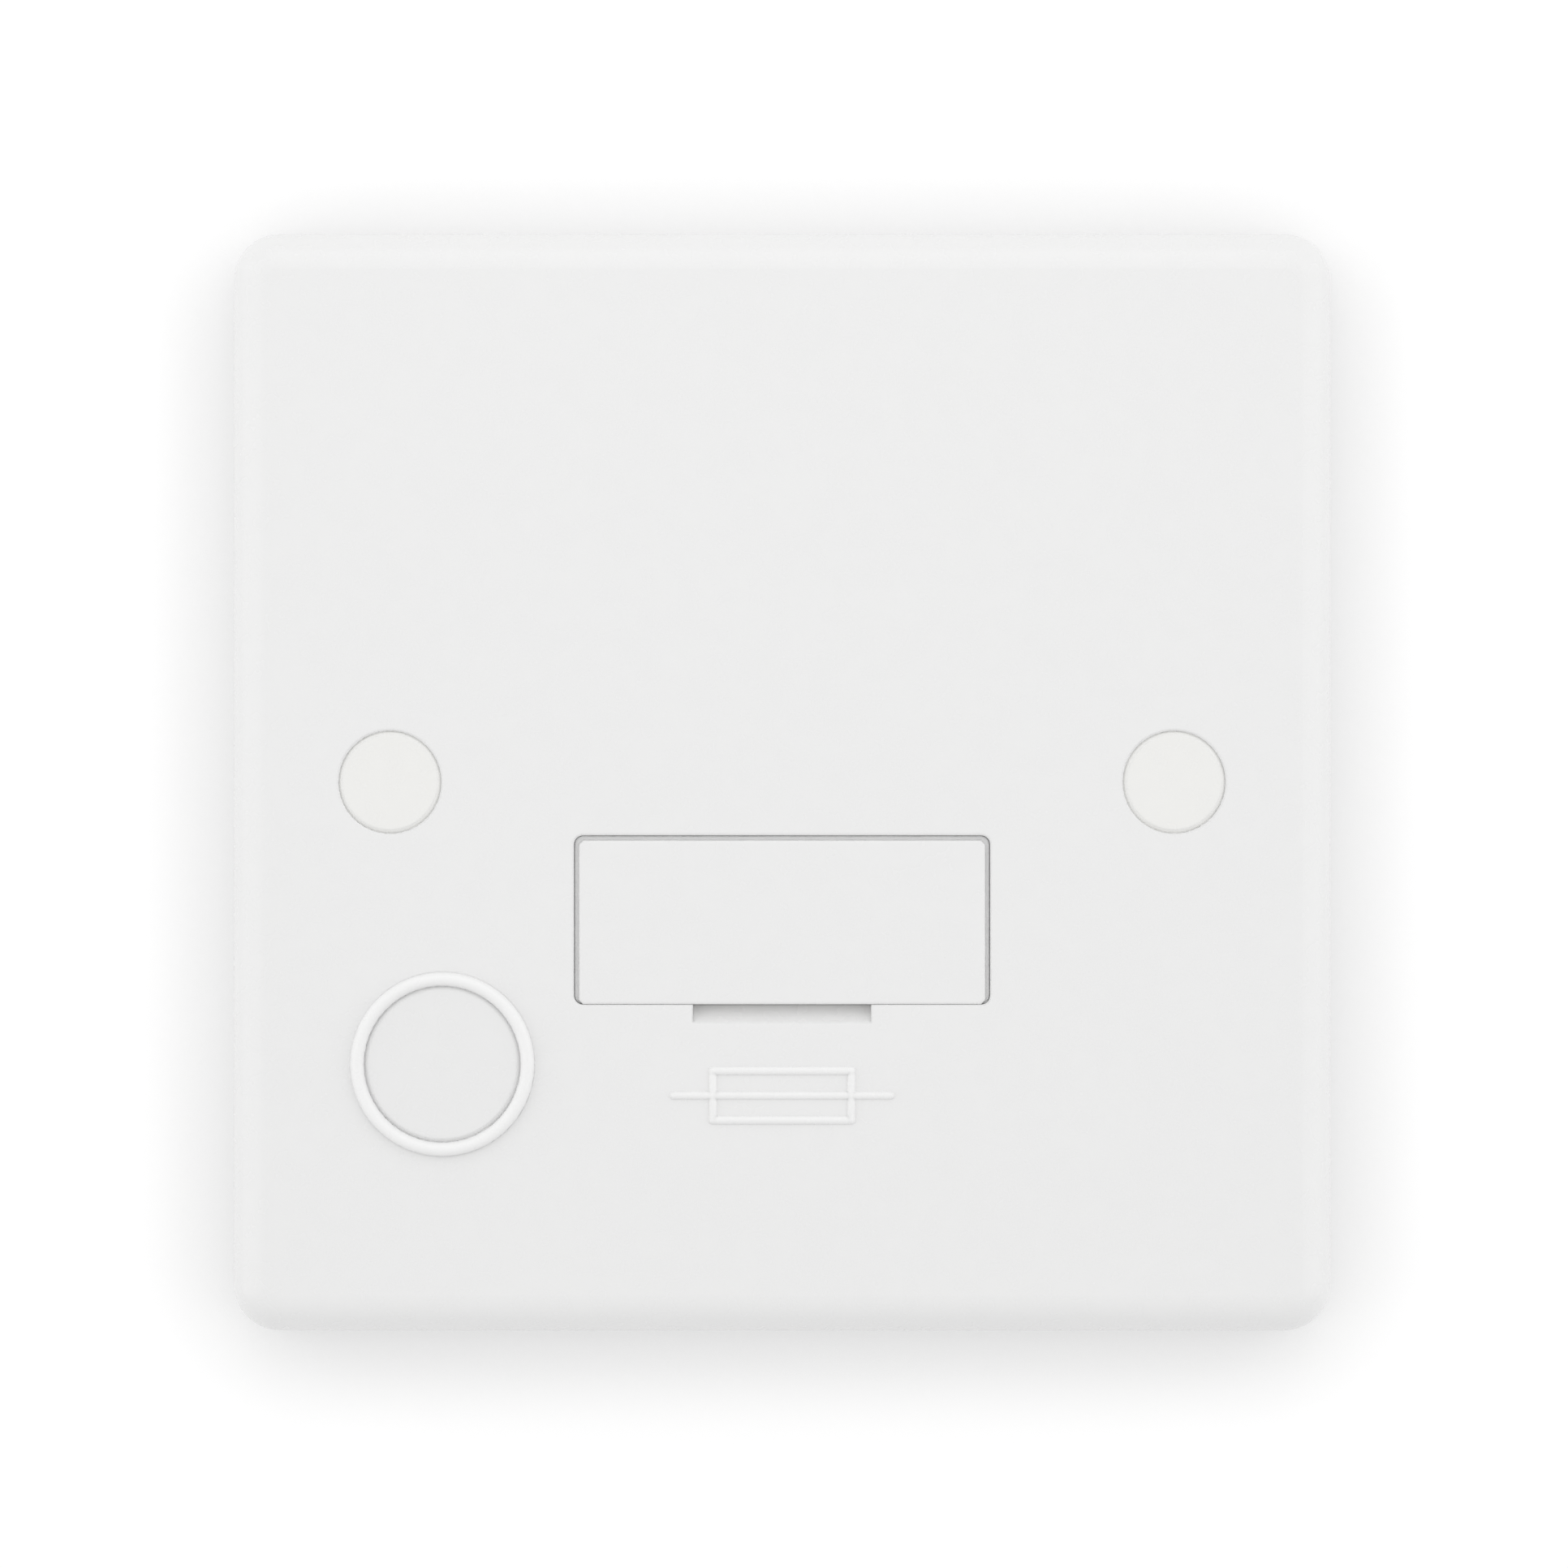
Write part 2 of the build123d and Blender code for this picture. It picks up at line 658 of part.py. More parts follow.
with BuildPart() as fixing_screws:
    add(make_screws(
        [(-fixing_x, 0), (fixing_x, 0)],
        fixing_seat_level,
        boss_setback - thread_start,
        fixing_neck / 2,
        fixing_head_radius,
        fixing_head_height,
    ))
    with BuildSketch(level(boss_setback - thread_start)):
        with Locations((-fixing_x, 0), (fixing_x, 0)):
            Circle(fixing_thread / 2)
    extrude(amount=fixing_seat_level - fixing_length - boss_setback + thread_start)

with BuildPart() as terminal_screws:
    add(make_screws(
        terminal_points,
        terminal_seat_level,
        terminal_tip_level,
        terminal_thread / 2,
        terminal_head / 2,
        terminal_head_height,
    ))

with BuildPart() as housing_screws:
    add(make_screws(
        ear_points,
        cover_back_level,
        housing_tip_level,
        housing_thread / 2,
        housing_head / 2,
        housing_head_height,
    ))

with BuildPart() as cord_clamp_screws:
    add(make_screws(
        clamp_points,
        clamp_head_level,
        clamp_tip_level,
        clamp_thread / 2,
        clamp_head / 2,
        clamp_head_height,
    ))

pieces = {
    "front_plate": front_plate.part,
    "fuse_carrier": fuse_carrier.part,
    "left_screw_cap": make_screw_cap(-fixing_x),
    "right_screw_cap": make_screw_cap(fixing_x),
    "outlet_plug": outlet_plug.part,
    "fixing_screws": fixing_screws.part,
    "terminal_base": terminal_base.part,
    "rear_cover": rear_cover.part,
    "live_load_terminal": make_live_terminal(-1),
    "live_supply_terminal": make_live_terminal(1),
    "neutral_bar": make_terminal_bar(neutral_z),
    "earth_bar": make_terminal_bar(earth_z),
    "terminal_screws": terminal_screws.part,
    "load_fuse_clip": make_fuse_clip(-1),
    "supply_fuse_clip": make_fuse_clip(1),
    "fuse_barrel": fuse_barrel.part,
    "left_fuse_cap": make_fuse_cap(-1),
    "right_fuse_cap": make_fuse_cap(1),
    "housing_screws": housing_screws.part,
    "cord_clamp": cord_clamp.part,
    "cord_clamp_screws": cord_clamp_screws.part,
}

os.makedirs("parts", exist_ok=True)
for name, piece in pieces.items():
    piece.label = name
    export_step(piece, f"parts/{name}.step")
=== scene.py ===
"""Dresses a fused connection unit with finishes, signs, threads and ribs, and sets its scene."""

import logging
import math
from collections.abc import Iterable, Iterator, Sequence
from dataclasses import dataclass, replace
from enum import Enum
from typing import Any

import bmesh
import bpy
from mathutils import Matrix, Vector

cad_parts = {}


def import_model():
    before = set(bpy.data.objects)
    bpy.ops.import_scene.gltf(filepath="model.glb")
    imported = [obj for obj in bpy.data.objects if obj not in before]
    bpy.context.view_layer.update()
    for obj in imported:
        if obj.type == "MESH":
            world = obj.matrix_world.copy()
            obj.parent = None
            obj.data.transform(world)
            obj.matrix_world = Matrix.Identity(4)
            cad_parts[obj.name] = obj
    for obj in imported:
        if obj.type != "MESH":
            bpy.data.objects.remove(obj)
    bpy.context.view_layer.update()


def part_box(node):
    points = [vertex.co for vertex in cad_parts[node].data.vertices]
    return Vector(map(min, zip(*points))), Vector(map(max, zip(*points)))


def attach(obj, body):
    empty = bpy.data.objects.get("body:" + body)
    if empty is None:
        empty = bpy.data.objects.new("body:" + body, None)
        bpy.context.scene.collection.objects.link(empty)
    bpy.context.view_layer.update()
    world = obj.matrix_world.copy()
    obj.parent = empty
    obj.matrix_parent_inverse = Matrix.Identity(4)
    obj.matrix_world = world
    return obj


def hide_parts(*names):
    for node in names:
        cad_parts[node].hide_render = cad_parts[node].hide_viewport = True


MM = 0.001
WELD = 0.001 * MM
QUARTER_TURN, FULL_TURN = math.pi / 2.0, 2.0 * math.pi
INTO_WALL = Vector((0.0, 1.0, 0.0))
LOG = logging.getLogger("fused_unit")

Colour = tuple[float, float, float]
Spot = tuple[float, float, float]
Point = tuple[float, float]
Socket = bpy.types.NodeSocket
BMesh = bmesh.types.BMesh

FULL: Point = (0.0, 1.0)


class Body(Enum):
    """The bodies that pieces ride on."""

    UNIT = "unit"
    LEFT_COVER = "left_cover"
    RIGHT_COVER = "right_cover"
    PLUG = "plug"


class Slot(Enum):
    """The record's material slots."""

    WHITE = "white_moulding"
    GREY = "grey_moulding"
    NYLON = "nylon"
    BRASS = "brass"
    BRONZE = "spring_bronze"
    ZINC = "zinc_steel"
    NICKEL = "nickel"
    CERAMIC = "ceramic"


class Effect(Enum):
    """The surface effects that finishes share."""

    SOFT_EDGES = "soft_edges"
    HANDLING = "handling"
    POCKET = "soiled_pocket"
    MOULDED_SKIN = "moulded_skin"
    DRAWN_LINES = "drawn_lines"
    TARNISH = "tarnish"
    DUST = "settled_dust"


class Side(Enum):
    """The way a face looks: out to the viewer or back into the wall."""

    FRONT = -1.0
    BACK = 1.0


class Sign(Enum):
    """The generic signs, each drawn in straight strokes whose unit is the sign's height."""

    FUSE = (
        ((-1.4, -0.5), (1.4, -0.5), (1.4, 0.5), (-1.4, 0.5), (-1.4, -0.5)),
        ((-2.2, 0.0), (2.2, 0.0)),
    )
    LIVE = (((-0.28, 0.5), (-0.28, -0.5), (0.28, -0.5)),)
    NEUTRAL = (((-0.32, -0.5), (-0.32, 0.5), (0.32, -0.5), (0.32, 0.5)),)
    EARTH = (
        ((0.0, 0.5), (0.0, 0.0)),
        ((-0.45, 0.0), (0.45, 0.0)),
        ((-0.28, -0.22), (0.28, -0.22)),
        ((-0.11, -0.44), (0.11, -0.44)),
    )


def by_name(sockets: Iterable[Socket]) -> dict[str, Socket]:
    """Lists sockets by their names."""
    return {socket.name: socket for socket in sockets}


class Graph:
    """Adds and links the nodes of one shader tree."""

    MIX_FIRST, MIX_SECOND, MIX_RESULT = 6, 7, 2

    def __init__(self, tree: bpy.types.NodeTree) -> None:
        """Keeps the tree that the nodes go into."""
        self.tree = tree

    def add(
        self, kind: str, inputs: dict[str | int, Any] | None = None, **settings: Any
    ) -> bpy.types.Node:
        """Adds one node.

        Args:
            kind: The node's type name.
            inputs: A plain value or an output socket for each input, by name or place.
            settings: The node's own properties.

        Returns:
            The new node.
        """
        node = self.tree.nodes.new(kind)
        for name, value in settings.items():
            setattr(node, name, value)
        self.fill(node, inputs or {})
        return node

    def fill(self, node: bpy.types.Node, inputs: dict[str | int, Any]) -> None:
        """Feeds several of a node's inputs, by name or place."""
        for key, value in inputs.items():
            self.feed(node.inputs[key], value)

    def feed(self, socket: Socket, value: Any) -> None:
        """Links an output socket into an input, or sets a plain value on it.

        Args:
            socket: The input.
            value: An output socket or a plain value.
        """
        if isinstance(value, Socket):
            self.tree.links.new(value, socket)
        else:
            socket.default_value = value

    def place(self) -> Socket:
        """Gives the place that is shaded, in the part's own frame."""
        return self.add("ShaderNodeTexCoord").outputs["Object"]

    def facing(self) -> Socket:
        """Gives the way that the surface faces."""
        return self.add("ShaderNodeNewGeometry").outputs["Normal"]

    def math(self, operation: str, first: Any, second: Any = 0.0) -> Socket:
        """Adds a sum of two values, held between 0 and 1."""
        inputs = {0: first, 1: second}
        return self.add("ShaderNodeMath", inputs, operation=operation, use_clamp=True).outputs[0]

    def vector(
        self, operation: str, first: Any, second: Any = (0.0, 0.0, 0.0), result: str = "Vector"
    ) -> Socket:
        """Adds a sum of two vectors."""
        inputs = {0: first, 1: second}
        return self.add("ShaderNodeVectorMath", inputs, operation=operation).outputs[result]

    def axes(self, vector: Socket) -> dict[str, Socket]:
        """Splits a vector into its X, Y and Z."""
        return by_name(self.add("ShaderNodeSeparateXYZ", {"Vector": vector}).outputs)

    def noise(self, place: Socket, scale: Any, detail: float, **more: float) -> Socket:
        """Adds a cloudy pattern."""
        inputs = {"Vector": place, "Scale": scale, "Detail": detail, **more}
        return self.add("ShaderNodeTexNoise", inputs).outputs["Fac"]

    def bump(self, height: Socket, normal: Socket, depth: float) -> Socket:
        """Tilts a normal by the slopes of a height."""
        inputs = {"Height": height, "Normal": normal, "Distance": depth}
        return self.add("ShaderNodeBump", inputs).outputs["Normal"]

    def remap(self, value: Any, source: tuple[Any, Any], target: Point = FULL) -> Socket:
        """Maps a value from one pair of ends to another."""
        ends = dict(zip(("From Min", "From Max", "To Min", "To Max"), (*source, *target)))
        return self.add("ShaderNodeMapRange", {"Value": value, **ends}).outputs["Result"]

    def tint(self, share: Any, first: Any, second: Any) -> Socket:
        """Blends two colours.

        Args:
            share: The second colour's share.
            first: A colour or a colour socket.
            second: A colour or a colour socket.

        Returns:
            The blended colour.
        """
        colours = [(*c, 1.0) if isinstance(c, tuple) else c for c in (first, second)]
        inputs = {0: share, self.MIX_FIRST: colours[0], self.MIX_SECOND: colours[1]}
        return self.add("ShaderNodeMix", inputs, data_type="RGBA").outputs[self.MIX_RESULT]


class EffectLibrary:
    """Builds each shared effect once, as a node group, and places it in materials."""

    NUMBER, VECTOR = "NodeSocketFloat", "NodeSocketVector"
    EDGE_SAMPLES = 4
    FLOW_SPAN, SPECK_SPAN = (0.1, 0.9), (0.05, 0.14)
    STREAK_SPAN, CLOUD_SPAN = (0.3, 0.7), (0.42, 0.68)
    UPWARD_SPAN = (0.35, 1.0)

    def __init__(self) -> None:
        """Builds every effect."""
        self.groups = {
            Effect.SOFT_EDGES: self._soft_edges(),
            Effect.HANDLING: self._handling(),
            Effect.POCKET: self._pocket(),
            Effect.MOULDED_SKIN: self._moulded_skin(),
            Effect.DRAWN_LINES: self._drawn_lines(),
            Effect.TARNISH: self._tarnish(),
            Effect.DUST: self._dust(),
        }

    def place(self, graph: Graph, effect: Effect, **values: Any) -> dict[str, Socket]:
        """Places an effect with a material's own values, and gives its outputs by name."""
        node = graph.add("ShaderNodeGroup", values, node_tree=self.groups[effect])
        return by_name(node.outputs)

    def _open(
        self, effect: Effect, inputs: dict[str, str], outputs: dict[str, str]
    ) -> tuple[Graph, dict[str, Socket], dict[str, Socket]]:
        """Starts a group and its sockets.

        Args:
            effect: The effect that names the group.
            inputs: The socket type of each named input.
            outputs: The socket type of each named output.

        Returns:
            The group's nodes, the sockets that its inputs arrive on, and those that its outputs
            leave by.
        """
        tree = bpy.data.node_groups.new(effect.value, "ShaderNodeTree")
        for way, sockets in (("INPUT", inputs), ("OUTPUT", outputs)):
            for name, kind in sockets.items():
                tree.interface.new_socket(name=name, in_out=way, socket_type=kind)
        graph = Graph(tree)
        arriving = graph.add("NodeGroupInput").outputs
        leaving = graph.add("NodeGroupOutput").inputs
        return graph, by_name(arriving), by_name(leaving)

    def _soft_edges(self) -> bpy.types.NodeTree:
        """Rounds sharp edges in the shading and finds where they are.

        Returns:
            The group.
        """
        graph, given, out = self._open(
            Effect.SOFT_EDGES,
            {"Radius": self.NUMBER, "Gain": self.NUMBER},
            {"Normal": self.VECTOR, "Edge": self.NUMBER},
        )
        radius = {"Radius": given["Radius"]}
        rounded = graph.add("ShaderNodeBevel", radius, samples=self.EDGE_SAMPLES).outputs["Normal"]
        likeness = graph.vector("DOT_PRODUCT", rounded, graph.facing(), "Value")
        turned = graph.math("SUBTRACT", 1.0, likeness)
        graph.feed(out["Normal"], rounded)
        graph.feed(out["Edge"], graph.math("MULTIPLY", turned, given["Gain"]))
        return graph.tree

    def _handling(self) -> bpy.types.NodeTree:
        """Finds what stands proud of the front, where a highlight is painted in.

        Returns:
            The group.
        """
        graph, given, out = self._open(
            Effect.HANDLING, {"Low": self.NUMBER, "High": self.NUMBER}, {"Mask": self.NUMBER}
        )
        height = graph.math("MULTIPLY", graph.axes(graph.place())["Y"], -1.0)
        graph.feed(out["Mask"], graph.remap(height, (given["Low"], given["High"])))
        return graph.tree

    def _pocket(self) -> bpy.types.NodeTree:
        """Finds the inside of a box, fading towards its sides, where shade is painted into a
        pocket.

        Returns:
            The group.
        """
        graph, given, out = self._open(
            Effect.POCKET,
            {"Centre": self.VECTOR, "Half": self.VECTOR, "Fade": self.VECTOR},
            {"Mask": self.NUMBER},
        )
        away = graph.vector("ABSOLUTE", graph.vector("SUBTRACT", graph.place(), given["Centre"]))
        inside = graph.vector("SUBTRACT", given["Half"], away)
        share = graph.axes(graph.vector("DIVIDE", inside, given["Fade"]))
        least = graph.math("MINIMUM", share["X"], share["Y"])
        graph.feed(out["Mask"], graph.math("MINIMUM", least, share["Z"]))
        return graph.tree

    def _moulded_skin(self) -> bpy.types.NodeTree:
        """Gives a moulded surface's fine peel, and the broad marks of the flow into the mould.

        Returns:
            The group.
        """
        graph, given, out = self._open(
            Effect.MOULDED_SKIN,
            {"Peel": self.NUMBER, "Flow": self.NUMBER},
            {"Height": self.NUMBER, "Flow": self.NUMBER, "Speck": self.NUMBER},
        )
        place = graph.place()
        flow = graph.noise(place, given["Flow"], detail=2.0, Distortion=0.2)
        cells = graph.add("ShaderNodeTexVoronoi", {"Vector": place, "Scale": given["Peel"]})
        specks = graph.remap(cells.outputs["Distance"], self.SPECK_SPAN, (1.0, 0.0))
        graph.feed(out["Height"], graph.noise(place, given["Peel"], detail=3.0))
        graph.feed(out["Flow"], graph.remap(flow, self.FLOW_SPAN))
        graph.feed(out["Speck"], specks)
        return graph.tree

    def _drawn_lines(self) -> bpy.types.NodeTree:
        """Gives the fine lines that drawing, rolling or turning leaves in metal.

        Returns:
            The group.
        """
        graph, given, out = self._open(
            Effect.DRAWN_LINES,
            {"Stretch": self.VECTOR},
            {"Height": self.NUMBER, "Streak": self.NUMBER},
        )
        drawn = graph.vector("MULTIPLY", graph.place(), given["Stretch"])
        broad = graph.noise(drawn, scale=0.25, detail=2.0)
        graph.feed(out["Height"], graph.noise(drawn, scale=1.0, detail=4.0))
        graph.feed(out["Streak"], graph.remap(broad, self.STREAK_SPAN))
        return graph.tree

    def _tarnish(self) -> bpy.types.NodeTree:
        """Finds the cloudy patches where bare or plated metal has dulled.

        Returns:
            The group.
        """
        graph, given, out = self._open(
            Effect.TARNISH, {"Size": self.NUMBER}, {"Mask": self.NUMBER}
        )
        cloud = graph.noise(
            graph.place(), given["Size"], detail=6.0, Roughness=0.65, Distortion=0.4
        )
        graph.feed(out["Mask"], graph.remap(cloud, self.CLOUD_SPAN))
        return graph.tree

    def _dust(self) -> bpy.types.NodeTree:
        """Finds the upward faces where fine dust settles.

        Returns:
            The group.
        """
        graph, given, out = self._open(Effect.DUST, {"Size": self.NUMBER}, {"Mask": self.NUMBER})
        cloud = graph.noise(graph.place(), given["Size"], detail=5.0)
        settled = graph.remap(graph.axes(graph.facing())["Z"], self.UPWARD_SPAN)
        graph.feed(out["Mask"], graph.math("MULTIPLY", settled, cloud))
        return graph.tree


def new_material(name: str) -> tuple[bpy.types.Material, Graph, bpy.types.Node]:
    """Starts a material.

    Args:
        name: The material's name.

    Returns:
        The material, its nodes and its Principled shader.
    """
    material = bpy.data.materials.new(name)
    material.use_nodes = True
    graph = Graph(material.node_tree)
    return material, graph, graph.tree.nodes["Principled BSDF"]


@dataclass(frozen=True)
class PocketShade:
    """A box in a moulding that gets painted shade, most in its middle and less over the fade."""

    centre: Spot
    half: Spot
    fade: Spot
    # The painted shade's colour.
    colour: Colour = (0.69, 0.687, 0.68)


@dataclass(frozen=True)
class Moulding:
    """A moulded or fired finish, with flow marks in its tone, a peel in its gloss and lighter
    edges, and where set a painted highlight on proud parts and painted shade in a pocket.
    """

    name: str
    slot: Slot
    colour: Colour
    flow_colour: Colour
    # Lighter edge tint: a painted highlight on the white mouldings, edge wear on the others.
    edge_colour: Colour
    dust_colour: Colour
    roughness: Point
    flow: float
    peel_depth: float
    peel: float = 1500.0
    edge_radius: float = 0.12 * MM
    edge_gain: float = 3.0
    dust: float = 0.08
    dust_size: float = 900.0
    specks: float = 0.0
    speck_colour: Colour = (0.0, 0.0, 0.0)
    # Levels over which raised parts get a painted highlight, full at the second.
    proud: Point | None = None
    pocket: PocketShade | None = None

    def material(self, effects: EffectLibrary) -> bpy.types.Material:
        """Builds the finish.

        Args:
            effects: The shared effects.

        Returns:
            The material.
        """
        material, graph, surface = new_material(self.name)
        edges = effects.place(
            graph, Effect.SOFT_EDGES, Radius=self.edge_radius, Gain=self.edge_gain
        )
        skin = effects.place(graph, Effect.MOULDED_SKIN, Peel=self.peel, Flow=self.flow)
        colour = graph.tint(skin["Flow"], self.colour, self.flow_colour)
        if self.specks:
            speckled = graph.math("MULTIPLY", skin["Speck"], self.specks)
            colour = graph.tint(speckled, colour, self.speck_colour)
        # Edges tinted lighter: a painted highlight on the white mouldings, edge wear on the others.
        edge_highlight_and_wear = edges["Edge"]
        # Raised parts get a painted highlight.
        if self.proud:
            low, high = self.proud
            proud_highlight_mask = effects.place(graph, Effect.HANDLING, Low=low, High=high)
            edge_highlight_and_wear = graph.math("MAXIMUM", edge_highlight_and_wear, proud_highlight_mask["Mask"])
        colour = graph.tint(edge_highlight_and_wear, colour, self.edge_colour)
        # Painted shade: the pocket's box is tinted darker.
        if self.pocket:
            box = {"Centre": self.pocket.centre, "Half": self.pocket.half, "Fade": self.pocket.fade}
            pocket_shade_mask = effects.place(graph, Effect.POCKET, **box)
            colour = graph.tint(pocket_shade_mask["Mask"], colour, self.pocket.colour)
        settled = effects.place(graph, Effect.DUST, Size=self.dust_size)
        dusty = graph.math("MULTIPLY", settled["Mask"], self.dust)
        graph.fill(surface, {
            "Base Color": graph.tint(dusty, colour, self.dust_colour),
            "Roughness": graph.remap(skin["Flow"], FULL, self.roughness),
            "Normal": graph.bump(skin["Height"], edges["Normal"], self.peel_depth),
        })
        return material


@dataclass(frozen=True)
class Metal:
    """A bare or plated metal, with lines from its making, dulled patches and bright edges."""

    name: str
    slot: Slot
    colour: Colour
    dull_colour: Colour
    edge_colour: Colour
    roughness: Point
    stretch: Spot
    line_depth: float = 0.003 * MM
    patches: float = 260.0
    patch_share: float = 0.6
    streak_share: float = 0.4
    edge_radius: float = 0.08 * MM
    edge_gain: float = 2.5

    def material(self, effects: EffectLibrary) -> bpy.types.Material:
        """Builds the finish.

        Args:
            effects: The shared effects.

        Returns:
            The material.
        """
        material, graph, surface = new_material(self.name)
        edges = effects.place(
            graph, Effect.SOFT_EDGES, Radius=self.edge_radius, Gain=self.edge_gain
        )
        lines = effects.place(graph, Effect.DRAWN_LINES, Stretch=self.stretch)
        tarnish = effects.place(graph, Effect.TARNISH, Size=self.patches)
        colour = graph.tint(tarnish["Mask"], self.colour, self.dull_colour)
        patchy = graph.math("MULTIPLY", tarnish["Mask"], self.patch_share)
        streaky = graph.math("MULTIPLY", lines["Streak"], self.streak_share)
        dulled = graph.math("ADD", patchy, streaky)
        graph.fill(surface, {
            "Base Color": graph.tint(edges["Edge"], colour, self.edge_colour),
            "Roughness": graph.remap(dulled, FULL, self.roughness),
            "Normal": graph.bump(lines["Height"], edges["Normal"], self.line_depth),
            "Metallic": 1.0,
        })
        return material


Finish = Moulding | Metal

WHITE = Moulding(
    "glossy_white_moulding_painted_highlight",
    Slot.WHITE,
    colour=(0.872, 0.872, 0.87),
    flow_colour=(0.854, 0.854, 0.853),
    # Painted highlight colour for edges and proud parts.
    edge_colour=(0.95, 0.95, 0.948),
    dust_colour=(0.74, 0.73, 0.71),
    roughness=(0.24, 0.3),
    flow=700.0,
    peel_depth=0.0018 * MM,
    edge_radius=0.3 * MM,
    # Raised parts such as the outlet ring's crown get a painted highlight.
    proud=(9.52 * MM, 10.05 * MM),
)
COVER_WHITE = replace(
    WHITE,
    name="warm_white_cover_painted_highlight",
    colour=(0.886, 0.884, 0.866),
    flow_colour=(0.868, 0.866, 0.848),
)
PLUG_WHITE = replace(
    WHITE,
    name="glossy_white_plug_painted_highlight",
    colour=(0.861, 0.861, 0.859),
    flow_colour=(0.843, 0.843, 0.842),
)
# The sign's low strokes get the painted highlight from the face forward.
RELIEF_WHITE = replace(WHITE, name="white_low_relief_painted_highlight", proud=(9.2 * MM, 9.6 * MM))
GREY = Moulding(
    "matte_grey_moulding",
    Slot.GREY,
    colour=(0.33, 0.34, 0.35),
    flow_colour=(0.29, 0.3, 0.315),
    edge_colour=(0.45, 0.46, 0.47),
    dust_colour=(0.52, 0.51, 0.5),
    roughness=(0.48, 0.6),
    flow=90.0,
    peel_depth=0.02 * MM,
    peel=4200.0,
    dust=0.2,
    specks=0.25,
    speck_colour=(0.4, 0.41, 0.42),
)
NYLON = Moulding(
    "satin_nylon",
    Slot.NYLON,
    colour=(0.78, 0.77, 0.73),
    flow_colour=(0.72, 0.71, 0.66),
    edge_colour=(0.84, 0.83, 0.8),
    dust_colour=(0.6, 0.59, 0.56),
    roughness=(0.38, 0.5),
    flow=140.0,
    peel_depth=0.012 * MM,
    peel=2600.0,
    dust=0.15,
)
CERAMIC = Moulding(
    "fired_ceramic",
    Slot.CERAMIC,
    colour=(0.86, 0.83, 0.76),
    flow_colour=(0.83, 0.79, 0.71),
    edge_colour=(0.9, 0.88, 0.83),
    dust_colour=(0.7, 0.68, 0.62),
    roughness=(0.42, 0.56),
    flow=160.0,
    peel_depth=0.015 * MM,
    peel=3200.0,
    dust=0.1,
    specks=0.35,
    speck_colour=(0.55, 0.48, 0.38),
)
BRASS = Metal(
    "machined_brass",
    Slot.BRASS,
    colour=(0.78, 0.6, 0.28),
    dull_colour=(0.6, 0.42, 0.19),
    edge_colour=(0.9, 0.75, 0.45),
    roughness=(0.2, 0.42),
    stretch=(900.0, 9000.0, 9000.0),
)
BRONZE = Metal(
    "rolled_spring_bronze",
    Slot.BRONZE,
    colour=(0.72, 0.48, 0.3),
    dull_colour=(0.54, 0.33, 0.2),
    edge_colour=(0.85, 0.65, 0.48),
    roughness=(0.22, 0.45),
    stretch=(9000.0, 700.0, 700.0),
)
ZINC = Metal(
    "zinc_plate",
    Slot.ZINC,
    colour=(0.66, 0.68, 0.7),
    dull_colour=(0.54, 0.56, 0.55),
    edge_colour=(0.8, 0.81, 0.82),
    roughness=(0.24, 0.46),
    stretch=(6000.0, 6000.0, 6000.0),
    patches=420.0,
)
NICKEL = Metal(
    "nickel_plate",
    Slot.NICKEL,
    colour=(0.76, 0.74, 0.7),
    dull_colour=(0.64, 0.61, 0.56),
    edge_colour=(0.86, 0.85, 0.82),
    roughness=(0.12, 0.26),
    stretch=(12000.0, 1500.0, 1500.0),
    line_depth=0.0015 * MM,
)


def keep_mesh(name: str, mesh: BMesh) -> bpy.types.Mesh:
    """Turns a finished mesh into mesh data.

    Args:
        name: The data's name.
        mesh: The mesh, which is freed.

    Returns:
        The data.
    """
    data = bpy.data.meshes.new(name)
    mesh.to_mesh(data)
    mesh.free()
    return data


def put_in_scene(name: str, data: bpy.types.ID) -> bpy.types.Object:
    """Makes an object and adds it to the scene.

    Args:
        name: The object's name.
        data: Its mesh, lamp or camera.

    Returns:
        The object.
    """
    thing = bpy.data.objects.new(name, data)
    bpy.context.scene.collection.objects.link(thing)
    return thing


class Wardrobe:
    """Makes each finish once and dresses the nodes and pieces with it."""

    SHARP_ANGLE = math.radians(38.0)

    def __init__(self) -> None:
        """Builds the shared effects."""
        self.effects = EffectLibrary()
        self.materials: dict[str, bpy.types.Material] = {}

    def material(self, finish: Finish) -> bpy.types.Material:
        """Gives a finish's material, which is built when it is first asked for.

        Args:
            finish: The finish.

        Returns:
            Its material.
        """
        if finish.name not in self.materials:
            self.materials[finish.name] = finish.material(self.effects)
        return self.materials[finish.name]

    def dress_nodes(self, nodes: Sequence[str], finish: Finish) -> None:
        """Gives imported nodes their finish.

        Args:
            nodes: The nodes' names.
            finish: The finish.
        """
        for name in nodes:
            bpy.data.objects[name].material_slots[0].material = self.material(finish)
            LOG.info("node %s takes %s", name, finish.name)

    def make_piece(self, name: str, mesh: BMesh, finish: Finish, body: Body) -> bpy.types.Object:
        """Turns a finished mesh into a dressed piece that rides on a body.

        Args:
            name: The piece's name.
            mesh: Its mesh, in the frame, which is freed.
            finish: Its finish.
            body: The body that it moves with.

        Returns:
            The new object.
        """
        bmesh.ops.recalc_face_normals(mesh, faces=mesh.faces)
        for face in mesh.faces:
            face.smooth = True
        data = keep_mesh(name, mesh)
        data.set_sharp_from_angle(angle=self.SHARP_ANGLE)
        data.materials.append(self.material(finish))
        piece = put_in_scene(name, data)
        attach(piece, body.value)
        LOG.info("piece %s of %d faces rides on %s", name, len(data.polygons), body.value)
        return piece


